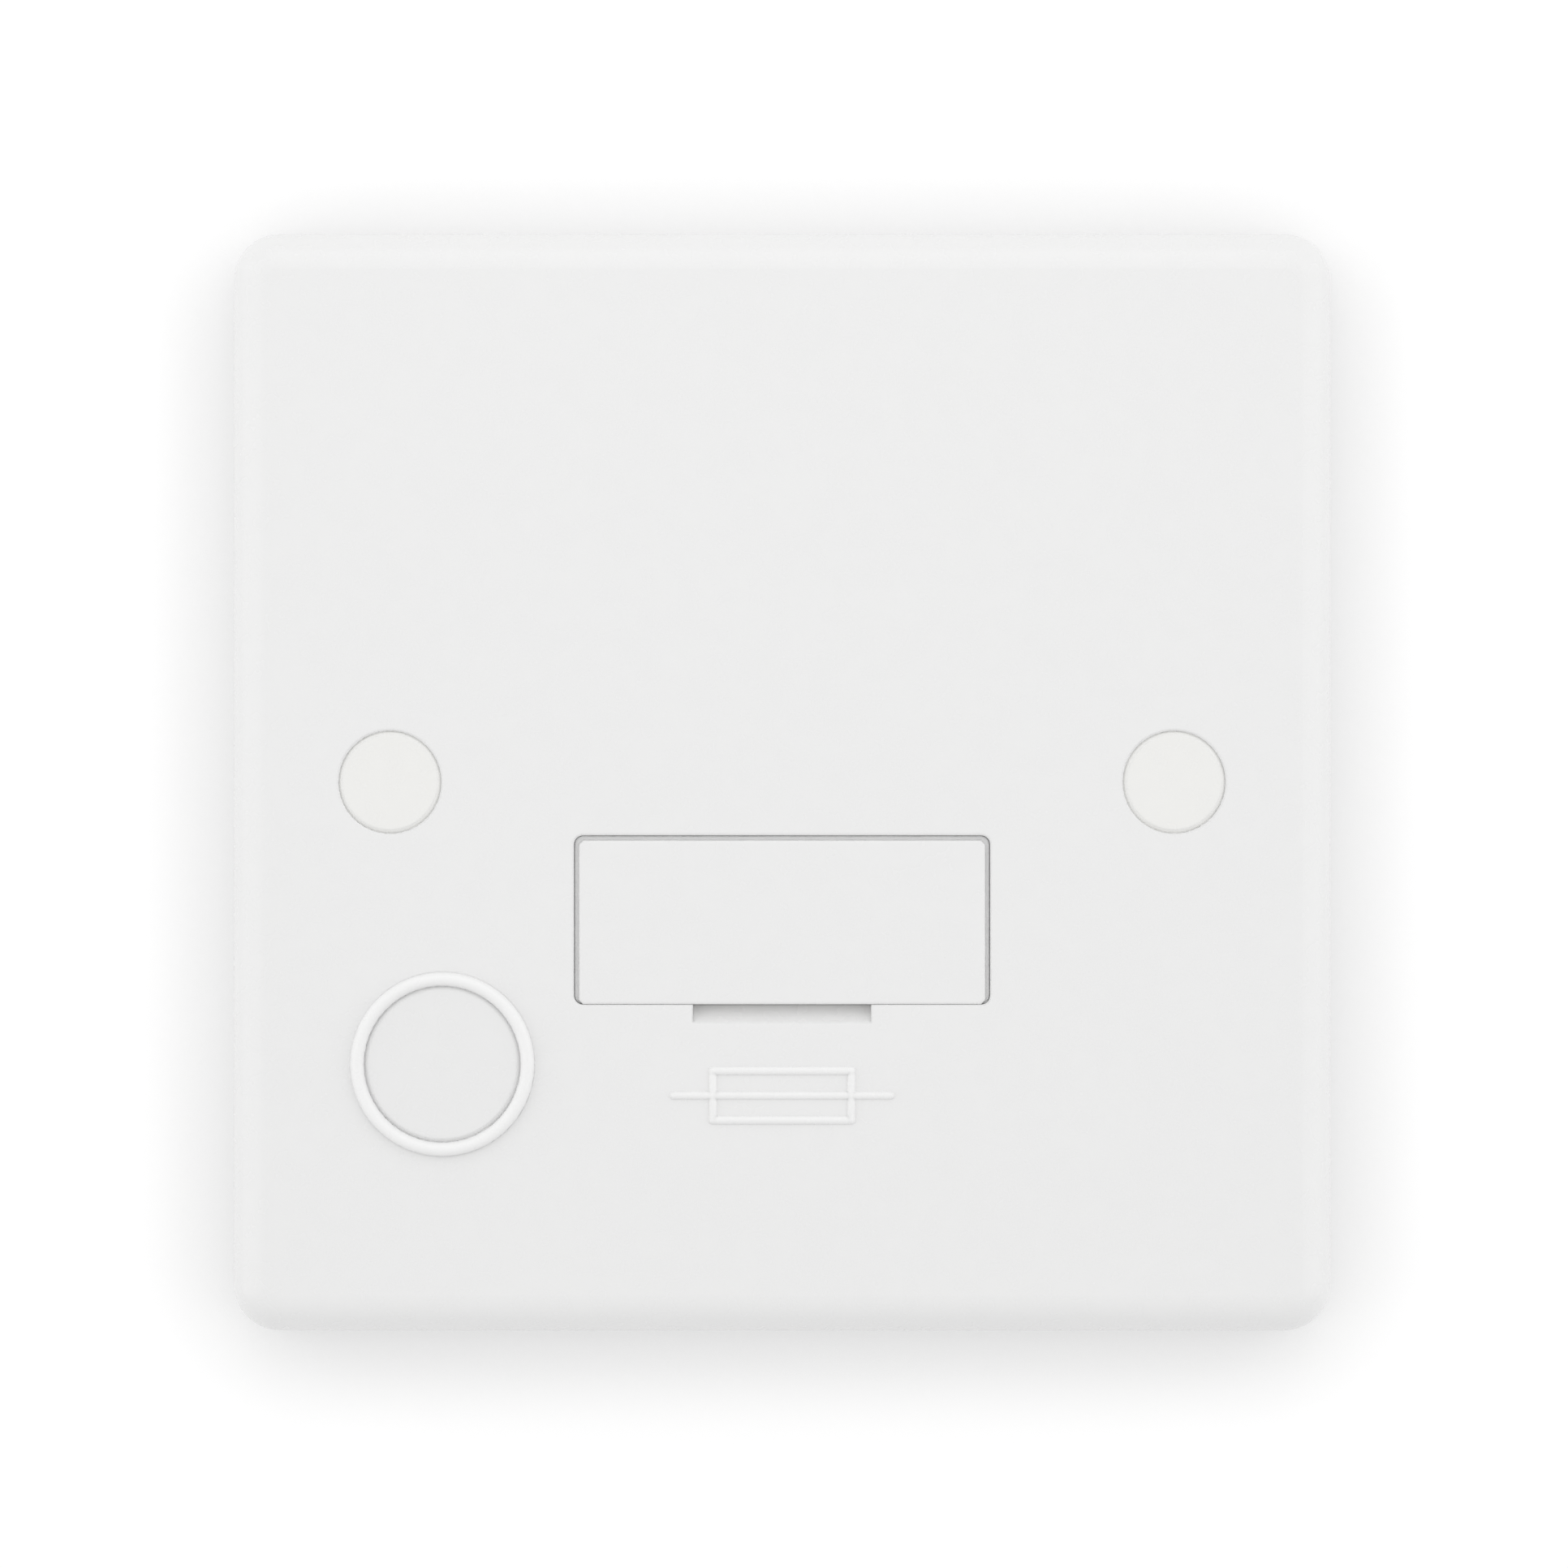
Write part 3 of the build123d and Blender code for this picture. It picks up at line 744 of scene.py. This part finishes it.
def join_rings(mesh: BMesh, rings: Sequence[Sequence[bmesh.types.BMVert]], sides: int) -> None:
    """Fills the bands between neighbouring rings of points.

    Args:
        mesh: The mesh that holds the points.
        rings: The rings in order. A ring of one point closes an end.
        sides: The number of sides.
    """
    for low, high in zip(rings, rings[1:]):
        for side in range(sides):
            after = side + 1
            corners = [low[side % len(low)], low[after % len(low)]]
            corners += [high[after % len(high)], high[side % len(high)]]
            mesh.faces.new(list(dict.fromkeys(corners)))


def lathe(
    mesh: BMesh, profile: Sequence[Point], foot: Vector, axis: Vector, segments: int
) -> None:
    """Turns a profile about an axis.

    Args:
        mesh: The mesh that the turned surface is added to.
        profile: Radius and distance along the axis, from one end to the other. A radius of 0
            closes the end.
        foot: The point that distances are measured from.
        axis: The unit direction of the axis.
        segments: The number of sides.
    """
    turn = Vector((0.0, 0.0, 1.0)).rotation_difference(axis).to_matrix()
    rings = []
    for radius, along in profile:
        count = segments if radius > 0.0 else 1
        angles = [FULL_TURN * step / segments for step in range(count)]
        local = [Vector((radius * math.cos(a), radius * math.sin(a), along)) for a in angles]
        rings.append([mesh.verts.new(foot + turn @ point) for point in local])
    join_rings(mesh, rings, segments)


def capsule(mesh: BMesh, start: Vector, end: Vector, radius: float, segments: int = 14) -> None:
    """Adds a round bar with round ends.

    Args:
        mesh: The mesh that the bar is added to.
        start: The middle of its first end.
        end: The middle of its second end.
        radius: The bar's radius.
        segments: The number of sides.
    """
    length = (end - start).length
    steps = segments // 4
    quarter = [QUARTER_TURN * step / steps for step in range(steps + 1)]
    profile = [(radius * math.sin(a), -radius * math.cos(a)) for a in quarter]
    profile += [(radius * math.cos(a), length + radius * math.sin(a)) for a in quarter[:-1]]
    profile += [(0.0, length + radius)]
    lathe(mesh, profile, start, (end - start) / length, segments)


@dataclass(frozen=True)
class RaisedSign:
    """A sign moulded on a flat face in round raised strokes.

    Strokes that meet or cross differ a little in thickness, so that their surfaces never lie in
    one another.
    """

    sign: Sign
    centre: Vector
    side: Side
    height: float
    stroke: float
    sunk: float
    line_thinning: float = 0.06
    step_thinning: float = 0.03

    def add_to(self, mesh: BMesh) -> None:
        """Adds the sign's strokes, partly sunk in the face, to a mesh.

        Args:
            mesh: The mesh that the strokes are added to.
        """
        for order, line in enumerate(self.sign.value):
            places = [self._place(point) for point in line]
            for step, (start, end) in enumerate(zip(places, places[1:])):
                slimmer = self.line_thinning * (order % 2) + self.step_thinning * (step % 2)
                capsule(mesh, start, end, self.stroke * (1.0 - slimmer))

    def _place(self, point: Point) -> Vector:
        """Puts a point of the sign on the face, to read the right way round from outside."""
        flat = Vector((-self.side.value * point[0], 0.0, point[1]))
        return self.centre - self.side.value * self.sunk * INTO_WALL + self.height * flat


@dataclass(frozen=True)
class ScrewPlace:
    """One screw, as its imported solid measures."""

    seat: Vector
    outward: Vector
    head_height: float
    head_radius: float
    neck_radius: float
    neck_length: float
    thread_radius: float
    thread_length: float


def separate_solids(node: str) -> Iterator[list[Vector]]:
    """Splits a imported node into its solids.

    Args:
        node: The node's name.

    Yields:
        The points of one solid at a time.
    """
    mesh = bmesh.new()
    mesh.from_mesh(bpy.data.objects[node].data)
    bmesh.ops.remove_doubles(mesh, verts=mesh.verts, dist=WELD)
    left = set(mesh.verts)
    while left:
        reached = [min(left, key=lambda vert: vert.index)]
        left.discard(reached[0])
        for vert in reached:
            near = {edge.other_vert(vert) for edge in vert.link_edges} & left
            left -= near
            reached.extend(sorted(near, key=lambda other: other.index))
        yield [vert.co.copy() for vert in reached]
    mesh.free()


def measure_screws(node: str) -> list[ScrewPlace]:
    """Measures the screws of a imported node, whose axes run along Y.

    Args:
        node: The node's name.

    Returns:
        One place for each screw.
    """
    slack = 0.02 * MM
    found = []
    for points in separate_solids(node):
        lows = [min(point[axis] for point in points) for axis in range(3)]
        highs = [max(point[axis] for point in points) for axis in range(3)]
        x, y, z = [(low + high) / 2.0 for low, high in zip(lows, highs)]
        rings = [(math.hypot(point.x - x, point.z - z), point.y) for point in points]
        head_radius = max(radius for radius, _ in rings)
        rim = [level for radius, level in rings if radius > head_radius - slack]
        side = Side.FRONT if sum(rim) / len(rim) < y else Side.BACK
        seat = max(rim) if side is Side.FRONT else min(rim)
        depths = [(radius, (seat - level) * side.value) for radius, level in rings]
        below = [(radius, depth) for radius, depth in depths if depth > -slack]
        shank = [(radius, depth) for radius, depth in below if radius < head_radius - slack]
        thread_radius = max(radius for radius, _ in shank)
        start = min(depth for radius, depth in shank if radius > thread_radius - slack)
        neck_length = max(start, 0.0)
        found.append(ScrewPlace(
            seat=Vector((x, seat, z)),
            outward=side.value * INTO_WALL,
            head_height=max(-depth for _, depth in depths),
            head_radius=head_radius,
            neck_radius=max(radius for radius, depth in shank if depth < slack),
            neck_length=neck_length,
            thread_radius=thread_radius,
            thread_length=max(depth for _, depth in shank) - neck_length,
        ))
    return found


def cut_out(mesh: BMesh, body: BMesh, cutter: BMesh) -> None:
    """Adds a closed body, less a cutter, to a mesh, and frees both.

    Args:
        mesh: The mesh that the cut body is added to.
        body: The body to cut.
        cutter: What is cut from it.
    """
    made = []
    for name, source in (("body", body), ("cutter", cutter)):
        bmesh.ops.recalc_face_normals(source, faces=source.faces)
        made.append(put_in_scene(name, keep_mesh(name, source)))
    cut = made[0].modifiers.new("cut", "BOOLEAN")
    cut.operation = "DIFFERENCE"
    cut.solver = "EXACT"
    cut.object = made[1]
    evaluated = made[0].evaluated_get(bpy.context.evaluated_depsgraph_get())
    result = bpy.data.meshes.new_from_object(evaluated)
    mesh.from_mesh(result)
    bpy.data.meshes.remove(result)
    for thing in made:
        data = thing.data
        bpy.data.objects.remove(thing)
        bpy.data.meshes.remove(data)


@dataclass
class ScrewSet:
    """Slotted pan-head screws with a cut thread, which stand for the plain screws of a node.

    The head's outline and slot are shares of its radius and height, and the thread's depth is a
    share of the pitch.
    """

    node: str
    finish: Finish
    pitch: float
    first_turn: float
    turn_step: float = 47.0
    head_rim: tuple[Point, ...] = ((0.0, 0.0), (0.97, 0.0), (1.0, 0.05))
    dome_foot: Point = (0.62, 0.4)
    dome_reach: Point = (0.38, 0.5)
    dome_steps: int = 8
    head_crown: tuple[Point, ...] = ((0.32, 0.98), (0.0, 1.0))
    slot_length: float = 3.0
    slot_width: float = 0.4
    slot_depth: float = 0.45
    segments: int = 40
    thread_depth: float = 0.54
    flank_top: float = 1.25
    flank_slope: float = 2.5
    tip_depth: float = 1.2
    thread_sides: int = 24
    rows_per_turn: int = 8

    def build(self, wardrobe: Wardrobe) -> None:
        """Builds the screws.

        Args:
            wardrobe: The finishes.
        """
        mesh = bmesh.new()
        for number, place in enumerate(measure_screws(self.node)):
            self._add_head(mesh, place, math.radians(self.first_turn + number * self.turn_step))
            self._add_shank(mesh, place)
        piece = wardrobe.make_piece(f"threaded_{self.node}", mesh, self.finish, Body.UNIT)
        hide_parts(self.node)

    def _add_head(self, mesh: BMesh, place: ScrewPlace, turn: float) -> None:
        """Adds a domed head with a slot.

        Args:
            mesh: The mesh that the head is added to.
            place: The screw's place.
            turn: The slot's angle in radians.
        """
        radius, height = place.head_radius, place.head_height
        (flat, low), (bend, rise) = self.dome_foot, self.dome_reach
        dome = [QUARTER_TURN * step / self.dome_steps for step in range(self.dome_steps + 1)]
        shares = list(self.head_rim)
        shares += [(flat + bend * math.cos(a), low + rise * math.sin(a)) for a in dome]
        shares += self.head_crown
        head, cutter = bmesh.new(), bmesh.new()
        profile = [(radius * across, height * up) for across, up in shares]
        lathe(head, profile, place.seat, place.outward, self.segments)
        length, width = self.slot_length * radius, self.slot_width * radius
        size = Matrix.Diagonal((length, 2.0 * self.slot_depth * height, width, 1.0))
        spin = Matrix.Rotation(turn, 4, "Y")
        middle = Matrix.Translation(place.seat + place.outward * height)
        bmesh.ops.create_cube(cutter, size=1.0, matrix=middle @ spin @ size)
        cut_out(mesh, head, cutter)

    def _add_shank(self, mesh: BMesh, place: ScrewPlace) -> None:
        """Adds the plain neck, if there is one, and the thread with its tapered tip.

        Args:
            mesh: The mesh that the shank is added to.
            place: The screw's place.
        """
        inward, length = -place.outward, place.neck_length
        if length > 0.0:
            neck = [(place.neck_radius, 0.0), (place.neck_radius, length), (0.0, length)]
            lathe(mesh, neck, place.seat, inward, self.segments)
        foot = place.seat + inward * length
        depth = self.thread_depth * self.pitch
        rows = math.ceil(place.thread_length / self.pitch * self.rows_per_turn)
        rings = []
        for row in range(rows + 1):
            along = place.thread_length * row / rows
            taper = place.thread_radius - self.tip_depth * depth + (place.thread_length - along)
            ring = []
            for side in range(self.thread_sides):
                share = side / self.thread_sides
                phase = (along / self.pitch - share) % 1.0
                flank = self.flank_top - abs(2.0 * phase - 1.0) * self.flank_slope
                groove = min(1.0, max(0.0, flank))
                radius = min(taper, place.thread_radius - depth * groove)
                angle = FULL_TURN * share
                out = Vector((radius * math.cos(angle), 0.0, radius * math.sin(angle)))
                ring.append(mesh.verts.new(foot + inward * along + out))
            rings.append(ring)
        join_rings(mesh, rings, self.thread_sides)
        mesh.faces.new(rings[0])
        mesh.faces.new(rings[-1])


@dataclass
class FacePlate:
    """The wall plate, with painted shade in its lever notch, a fuse sign on its front and the
    mould's ejector marks on its inside.
    """

    sign_height: float = 3.8 * MM
    sign_drop: float = 7.0 * MM
    sign_stroke: float = 0.36 * MM
    sign_sunk: float = 0.1 * MM
    face_thickness: float = 2.6 * MM
    notch: Spot = (7.2 * MM, 1.2 * MM, 1.4 * MM)
    notch_fade: Spot = (0.5 * MM, 1.2 * MM, 1.4 * MM)
    ejector_radius: float = 1.6 * MM
    ejector_rim: float = 0.2 * MM
    ejector_height: float = 0.08 * MM
    ejector_dip: float = 0.3
    ejector_segments: int = 28
    ejector_spots: tuple[Point, ...] = (
        (-0.82, 0.82), (0.82, 0.82), (0.82, -0.82), (-0.82, -0.82),
        (-0.82, 0.36), (0.82, 0.36), (0.82, -0.4), (0.0, 0.88), (0.0, -0.7),
    )

    def build(self, wardrobe: Wardrobe) -> None:
        """Dresses the plate and adds its marks.

        Args:
            wardrobe: The finishes.
        """
        door_low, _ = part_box("fuse_carrier")
        face = door_low.y
        # Painted shade in the lever notch below the fuse door.
        notch = PocketShade((0.0, face + self.notch[1], door_low.z), self.notch, self.notch_fade)
        plate_white = replace(WHITE, name="glossy_white_plate_painted_light", pocket=notch)
        wardrobe.dress_nodes(["front_plate"], plate_white)
        sign = bmesh.new()
        centre = Vector((0.0, face, door_low.z - self.sign_drop))
        sizes = (self.sign_height, self.sign_stroke, self.sign_sunk)
        RaisedSign(Sign.FUSE, centre, Side.FRONT, *sizes).add_to(sign)
        wardrobe.make_piece("raised_fuse_sign", sign, RELIEF_WHITE, Body.UNIT)
        self._ejector_marks(wardrobe, face + self.face_thickness)

    def _ejector_marks(self, wardrobe: Wardrobe, inside: float) -> None:
        """Adds the low round marks that the mould's ejector pins leave.

        Args:
            wardrobe: The finishes.
            inside: The level of the plate's inner face.
        """
        _, plate_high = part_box("front_plate")
        rim, radius, height = self.ejector_rim, self.ejector_radius, self.ejector_height
        dip = self.ejector_dip * height
        profile = [(radius + rim, 0.0), (radius + rim / 2.0, height), (radius, dip), (0.0, dip)]
        marks = bmesh.new()
        for across, up in self.ejector_spots:
            foot = Vector((across * plate_high.x, inside, up * plate_high.z))
            lathe(marks, profile, foot, INTO_WALL, self.ejector_segments)
        wardrobe.make_piece("ejector_marks", marks, WHITE, Body.UNIT)


@dataclass
class FuseCarrier:
    """The pull-out carrier and the cartridge fuse that it holds."""

    def build(self, wardrobe: Wardrobe) -> None:
        """Dresses the carrier and its fuse.

        Args:
            wardrobe: The finishes.
        """
        wardrobe.dress_nodes(["fuse_carrier"], WHITE)
        wardrobe.dress_nodes(["fuse_barrel"], CERAMIC)
        wardrobe.dress_nodes(["left_fuse_cap", "right_fuse_cap"], NICKEL)


@dataclass(frozen=True)
class GripRib:
    """The fine rib round a press-in disc, which grips the hole and closes the gap below a bevel."""

    node: str
    finish: Finish
    body: Body
    depth: float
    reach: float = 0.036 * MM
    root: float = 0.15 * MM
    width: float = 0.25 * MM
    segments: int = 96

    def build(self, wardrobe: Wardrobe) -> None:
        """Turns the rib about the disc's axis.

        Args:
            wardrobe: The finishes.
        """
        low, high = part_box(self.node)
        middle = (low + high) / 2.0
        radius = (high.x - low.x) / 2.0
        inner, outer, width = radius - self.root, radius + self.reach, self.width
        profile = [(inner, 0.0), (outer, 0.0), (outer, width), (inner, width), (inner, 0.0)]
        foot = Vector((middle.x, low.y + self.depth, middle.z))
        rib = bmesh.new()
        lathe(rib, profile, foot, INTO_WALL, self.segments)
        bmesh.ops.remove_doubles(rib, verts=rib.verts, dist=WELD)
        wardrobe.make_piece(f"{self.node}_rib", rib, self.finish, self.body)


@dataclass
class Fixings:
    """The wall screws and the round covers that hide them."""

    pitch: float = 0.6 * MM
    first_turn: float = 20.0
    rib_depth: float = 0.22 * MM

    def build(self, wardrobe: Wardrobe) -> None:
        """Dresses the covers, adds their ribs and cuts the screws' threads.

        Args:
            wardrobe: The finishes.
        """
        wardrobe.dress_nodes(["left_screw_cap", "right_screw_cap"], COVER_WHITE)
        GripRib("left_screw_cap", COVER_WHITE, Body.LEFT_COVER, self.rib_depth).build(wardrobe)
        GripRib("right_screw_cap", COVER_WHITE, Body.RIGHT_COVER, self.rib_depth).build(wardrobe)
        ScrewSet("fixing_screws", ZINC, self.pitch, self.first_turn).build(wardrobe)


@dataclass
class FlexOutlet:
    """The outlet's plug and the cord clamp behind it."""

    pitch: float = 0.9 * MM
    first_turn: float = 65.0
    rib_depth: float = 0.22 * MM

    def build(self, wardrobe: Wardrobe) -> None:
        """Dresses the plug and the clamp, adds the plug's rib and cuts the screws' threads.

        Args:
            wardrobe: The finishes.
        """
        wardrobe.dress_nodes(["outlet_plug"], PLUG_WHITE)
        GripRib("outlet_plug", PLUG_WHITE, Body.PLUG, self.rib_depth).build(wardrobe)
        wardrobe.dress_nodes(["cord_clamp"], NYLON)
        ScrewSet("cord_clamp_screws", ZINC, self.pitch, self.first_turn).build(wardrobe)


@dataclass
class TerminalHousing:
    """The grey housing with its terminals, clips and screws, and the signs on its cover."""

    terminal_pitch: float = 0.6 * MM
    terminal_turn: float = 10.0
    housing_pitch: float = 0.9 * MM
    housing_turn: float = 35.0
    sign_height: float = 2.6 * MM
    sign_stroke: float = 0.22 * MM
    sign_sunk: float = 0.06 * MM
    sign_inset: float = 7.4 * MM
    row_digits: int = 2

    def build(self, wardrobe: Wardrobe) -> None:
        """Dresses the housing and its metal, adds the signs and cuts the threads.

        Args:
            wardrobe: The finishes.
        """
        terminals = ["live_load_terminal", "live_supply_terminal", "neutral_bar", "earth_bar"]
        wardrobe.dress_nodes(["terminal_base", "rear_cover"], GREY)
        wardrobe.dress_nodes(terminals, BRASS)
        wardrobe.dress_nodes(["load_fuse_clip", "supply_fuse_clip"], BRONZE)
        self._terminal_signs(wardrobe, measure_screws("housing_screws")[0].seat.y)
        for node, pitch, turn in (
            ("terminal_screws", self.terminal_pitch, self.terminal_turn),
            ("housing_screws", self.housing_pitch, self.housing_turn),
        ):
            ScrewSet(node, ZINC, pitch, turn).build(wardrobe)

    def _terminal_signs(self, wardrobe: Wardrobe, level: float) -> None:
        """Adds a sign beside each terminal screw.

        Args:
            wardrobe: The finishes.
            level: The level of the cover's outer face.
        """
        signs = bmesh.new()
        places = [place.seat for place in measure_screws("terminal_screws")]
        rows = [round(place.z / MM, self.row_digits) for place in places]
        named = dict(zip(sorted(set(rows)), (Sign.LIVE, Sign.NEUTRAL, Sign.EARTH)))
        sizes = (self.sign_height, self.sign_stroke, self.sign_sunk)
        for place, row in zip(places, rows):
            x = place.x - math.copysign(self.sign_inset, place.x)
            centre = Vector((x, level, place.z))
            RaisedSign(named[row], centre, Side.BACK, *sizes).add_to(signs)
        wardrobe.make_piece("raised_terminal_signs", signs, GREY, Body.UNIT)


@dataclass(frozen=True)
class Softbox:
    """A square soft light that points at the unit."""

    name: str
    place: Spot
    size: float
    watts: float

    def hang(self) -> None:
        """Adds the light to the scene."""
        light = bpy.data.lights.new(self.name, "AREA")
        light.shape = "SQUARE"
        light.size = self.size
        light.energy = self.watts
        lamp = put_in_scene(self.name, light)
        lamp.location = self.place
        lamp.rotation_euler = (-Vector(self.place)).to_track_quat("-Z", "Y").to_euler()


@dataclass
class Studio:
    """The white wall behind the plate, soft light from all round, and the camera in front."""

    photo_pixels: float = 1932.0
    pixels_per_mm: float = 15.583
    camera_distance: float = 330.0 * MM
    camera_right: float = 0.15 * MM
    camera_drop: float = 0.14 * MM
    camera_near: float = 10.0 * MM
    wall_side: float = 6.0
    wall_level: float = -0.02 * MM
    wall_overlap: float = 0.05 * MM
    plate_corner: float = 4.1 * MM
    corner_steps: int = 12
    wall_colour: float = 0.75
    wall_glow: float = 0.32
    shade_reach: float = 9.0 * MM
    shade_samples: int = 3
    shade_span: Point = (0.5, 1.0)
    shade_foot: float = 0.81
    sky_ahead: float = 0.688
    sky_around: float = 0.9
    sky_tilt: Point = (0.98, 1.04)
    softboxes: tuple[Softbox, ...] = (
        Softbox("top_softbox", (0.0, -0.22, 0.2), 0.26, 0.11),
        Softbox("left_softbox", (-0.45, -0.25, 0.05), 0.6, 0.56),
        Softbox("right_softbox", (0.45, -0.25, 0.05), 0.6, 0.56),
        Softbox("rear_softbox", (0.35, 0.4, 0.45), 0.5, 1.6),
    )

    def build(self) -> None:
        """Sets up the wall, the lights, the world and the camera."""
        self._wall()
        for softbox in self.softboxes:
            softbox.hang()
        self._sky()
        self._camera()
        bpy.context.scene.view_settings.view_transform = "Standard"

    def _wall(self) -> None:
        """Makes the wall, with a hole that the plate just covers."""
        _, plate_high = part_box("front_plate")
        spread = self.wall_side / (2.0 * plate_high.x)
        straight = plate_high.x - self.plate_corner
        bend = self.plate_corner - self.wall_overlap
        mesh = bmesh.new()
        hole, rim = [], []
        for step in range(4 * self.corner_steps):
            quarter, share = divmod(step, self.corner_steps)
            angle = QUARTER_TURN * (quarter + share / (self.corner_steps - 1))
            middle = QUARTER_TURN * (quarter + 0.5)
            x = math.copysign(straight, math.cos(middle)) + bend * math.cos(angle)
            z = math.copysign(straight, math.sin(middle)) + bend * math.sin(angle)
            hole.append(mesh.verts.new((x, self.wall_level, z)))
            rim.append(mesh.verts.new((spread * x, self.wall_level, spread * z)))
        for step in range(len(hole)):
            mesh.faces.new((rim[step - 1], rim[step], hole[step], hole[step - 1]))
        data = keep_mesh("wall", mesh)
        data.materials.append(self._wall_paint())
        wall = put_in_scene("wall", data)

    def _wall_paint(self) -> bpy.types.Material:
        """Makes white paint that keeps the unit's soft shadow, deepened by a painted shadow near
        the unit, and is clear to a viewer behind it.

        Returns:
            The material.
        """
        material, graph, surface = new_material("wall_paint")
        graph.tree.nodes.remove(surface)
        path = graph.add("ShaderNodeLightPath").outputs
        seen = graph.math("ADD", path["Is Camera Ray"], path["Is Glossy Ray"])
        seen = graph.math("ADD", seen, path["Is Transmission Ray"])
        # Painted shadow: an occlusion test darkens the paint and its glow near the unit.
        reach = {"Distance": self.shade_reach}
        hemisphere = graph.add("ShaderNodeAmbientOcclusion", reach, samples=self.shade_samples)
        shade = graph.remap(hemisphere.outputs["AO"], self.shade_span, (self.shade_foot, 1.0))
        level = graph.math("MULTIPLY", graph.math("MULTIPLY", seen, shade), self.wall_glow)
        glow = graph.add("ShaderNodeEmission", {"Strength": level}).outputs[0]
        tone = graph.math("MULTIPLY", shade, self.wall_colour)
        paint = graph.add("ShaderNodeBsdfDiffuse", {"Color": tone}).outputs[0]
        front = graph.add("ShaderNodeAddShader", {0: paint, 1: glow}).outputs[0]
        clear = graph.add("ShaderNodeBsdfTransparent").outputs[0]
        rear = graph.add("ShaderNodeNewGeometry").outputs["Backfacing"]
        behind = graph.math("MULTIPLY", rear, path["Is Camera Ray"])
        both = graph.add("ShaderNodeMixShader", {0: behind, 1: front, 2: clear}).outputs[0]
        graph.feed(graph.tree.nodes["Material Output"].inputs["Surface"], both)
        return material

    def _sky(self) -> None:
        """Fills the world with pale light, stronger all round the plate's rim and from above."""
        world = bpy.data.worlds.new("pale_tent")
        world.use_nodes = True
        graph = Graph(world.node_tree)
        way = graph.axes(graph.add("ShaderNodeTexCoord").outputs["Generated"])
        ahead = graph.math("ABSOLUTE", way["Y"])
        level = graph.remap(ahead, FULL, (self.sky_around, self.sky_ahead))
        tilt = graph.remap(way["Z"], (-1.0, 1.0), self.sky_tilt)
        graph.fill(graph.tree.nodes["Background"], {
            "Color": (1.0, 1.0, 1.0, 1.0),
            "Strength": graph.math("MULTIPLY", level, tilt),
        })
        bpy.context.scene.world = world

    def _camera(self) -> None:
        """Puts the camera square in front of the plate, at the photograph's framing."""
        camera = bpy.data.cameras.new("photo_camera")
        frame_width = self.photo_pixels / self.pixels_per_mm * MM
        camera.lens = camera.sensor_width * self.camera_distance / frame_width
        camera.clip_start = self.camera_near
        holder = put_in_scene("photo_camera", camera)
        holder.location = (self.camera_right, -self.camera_distance, -self.camera_drop)
        holder.rotation_euler = (QUARTER_TURN, 0.0, 0.0)
        bpy.context.scene.camera = holder


def main() -> None:
    """Loads the frame, builds each sub-assembly in order and sets the scene."""
    logging.basicConfig(level=logging.INFO, format="%(message)s")
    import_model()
    wardrobe = Wardrobe()
    for assembly in (FacePlate(), FuseCarrier(), Fixings(), FlexOutlet(), TerminalHousing()):
        assembly.build(wardrobe)
    Studio().build()


if __name__ == "__main__":
    main()
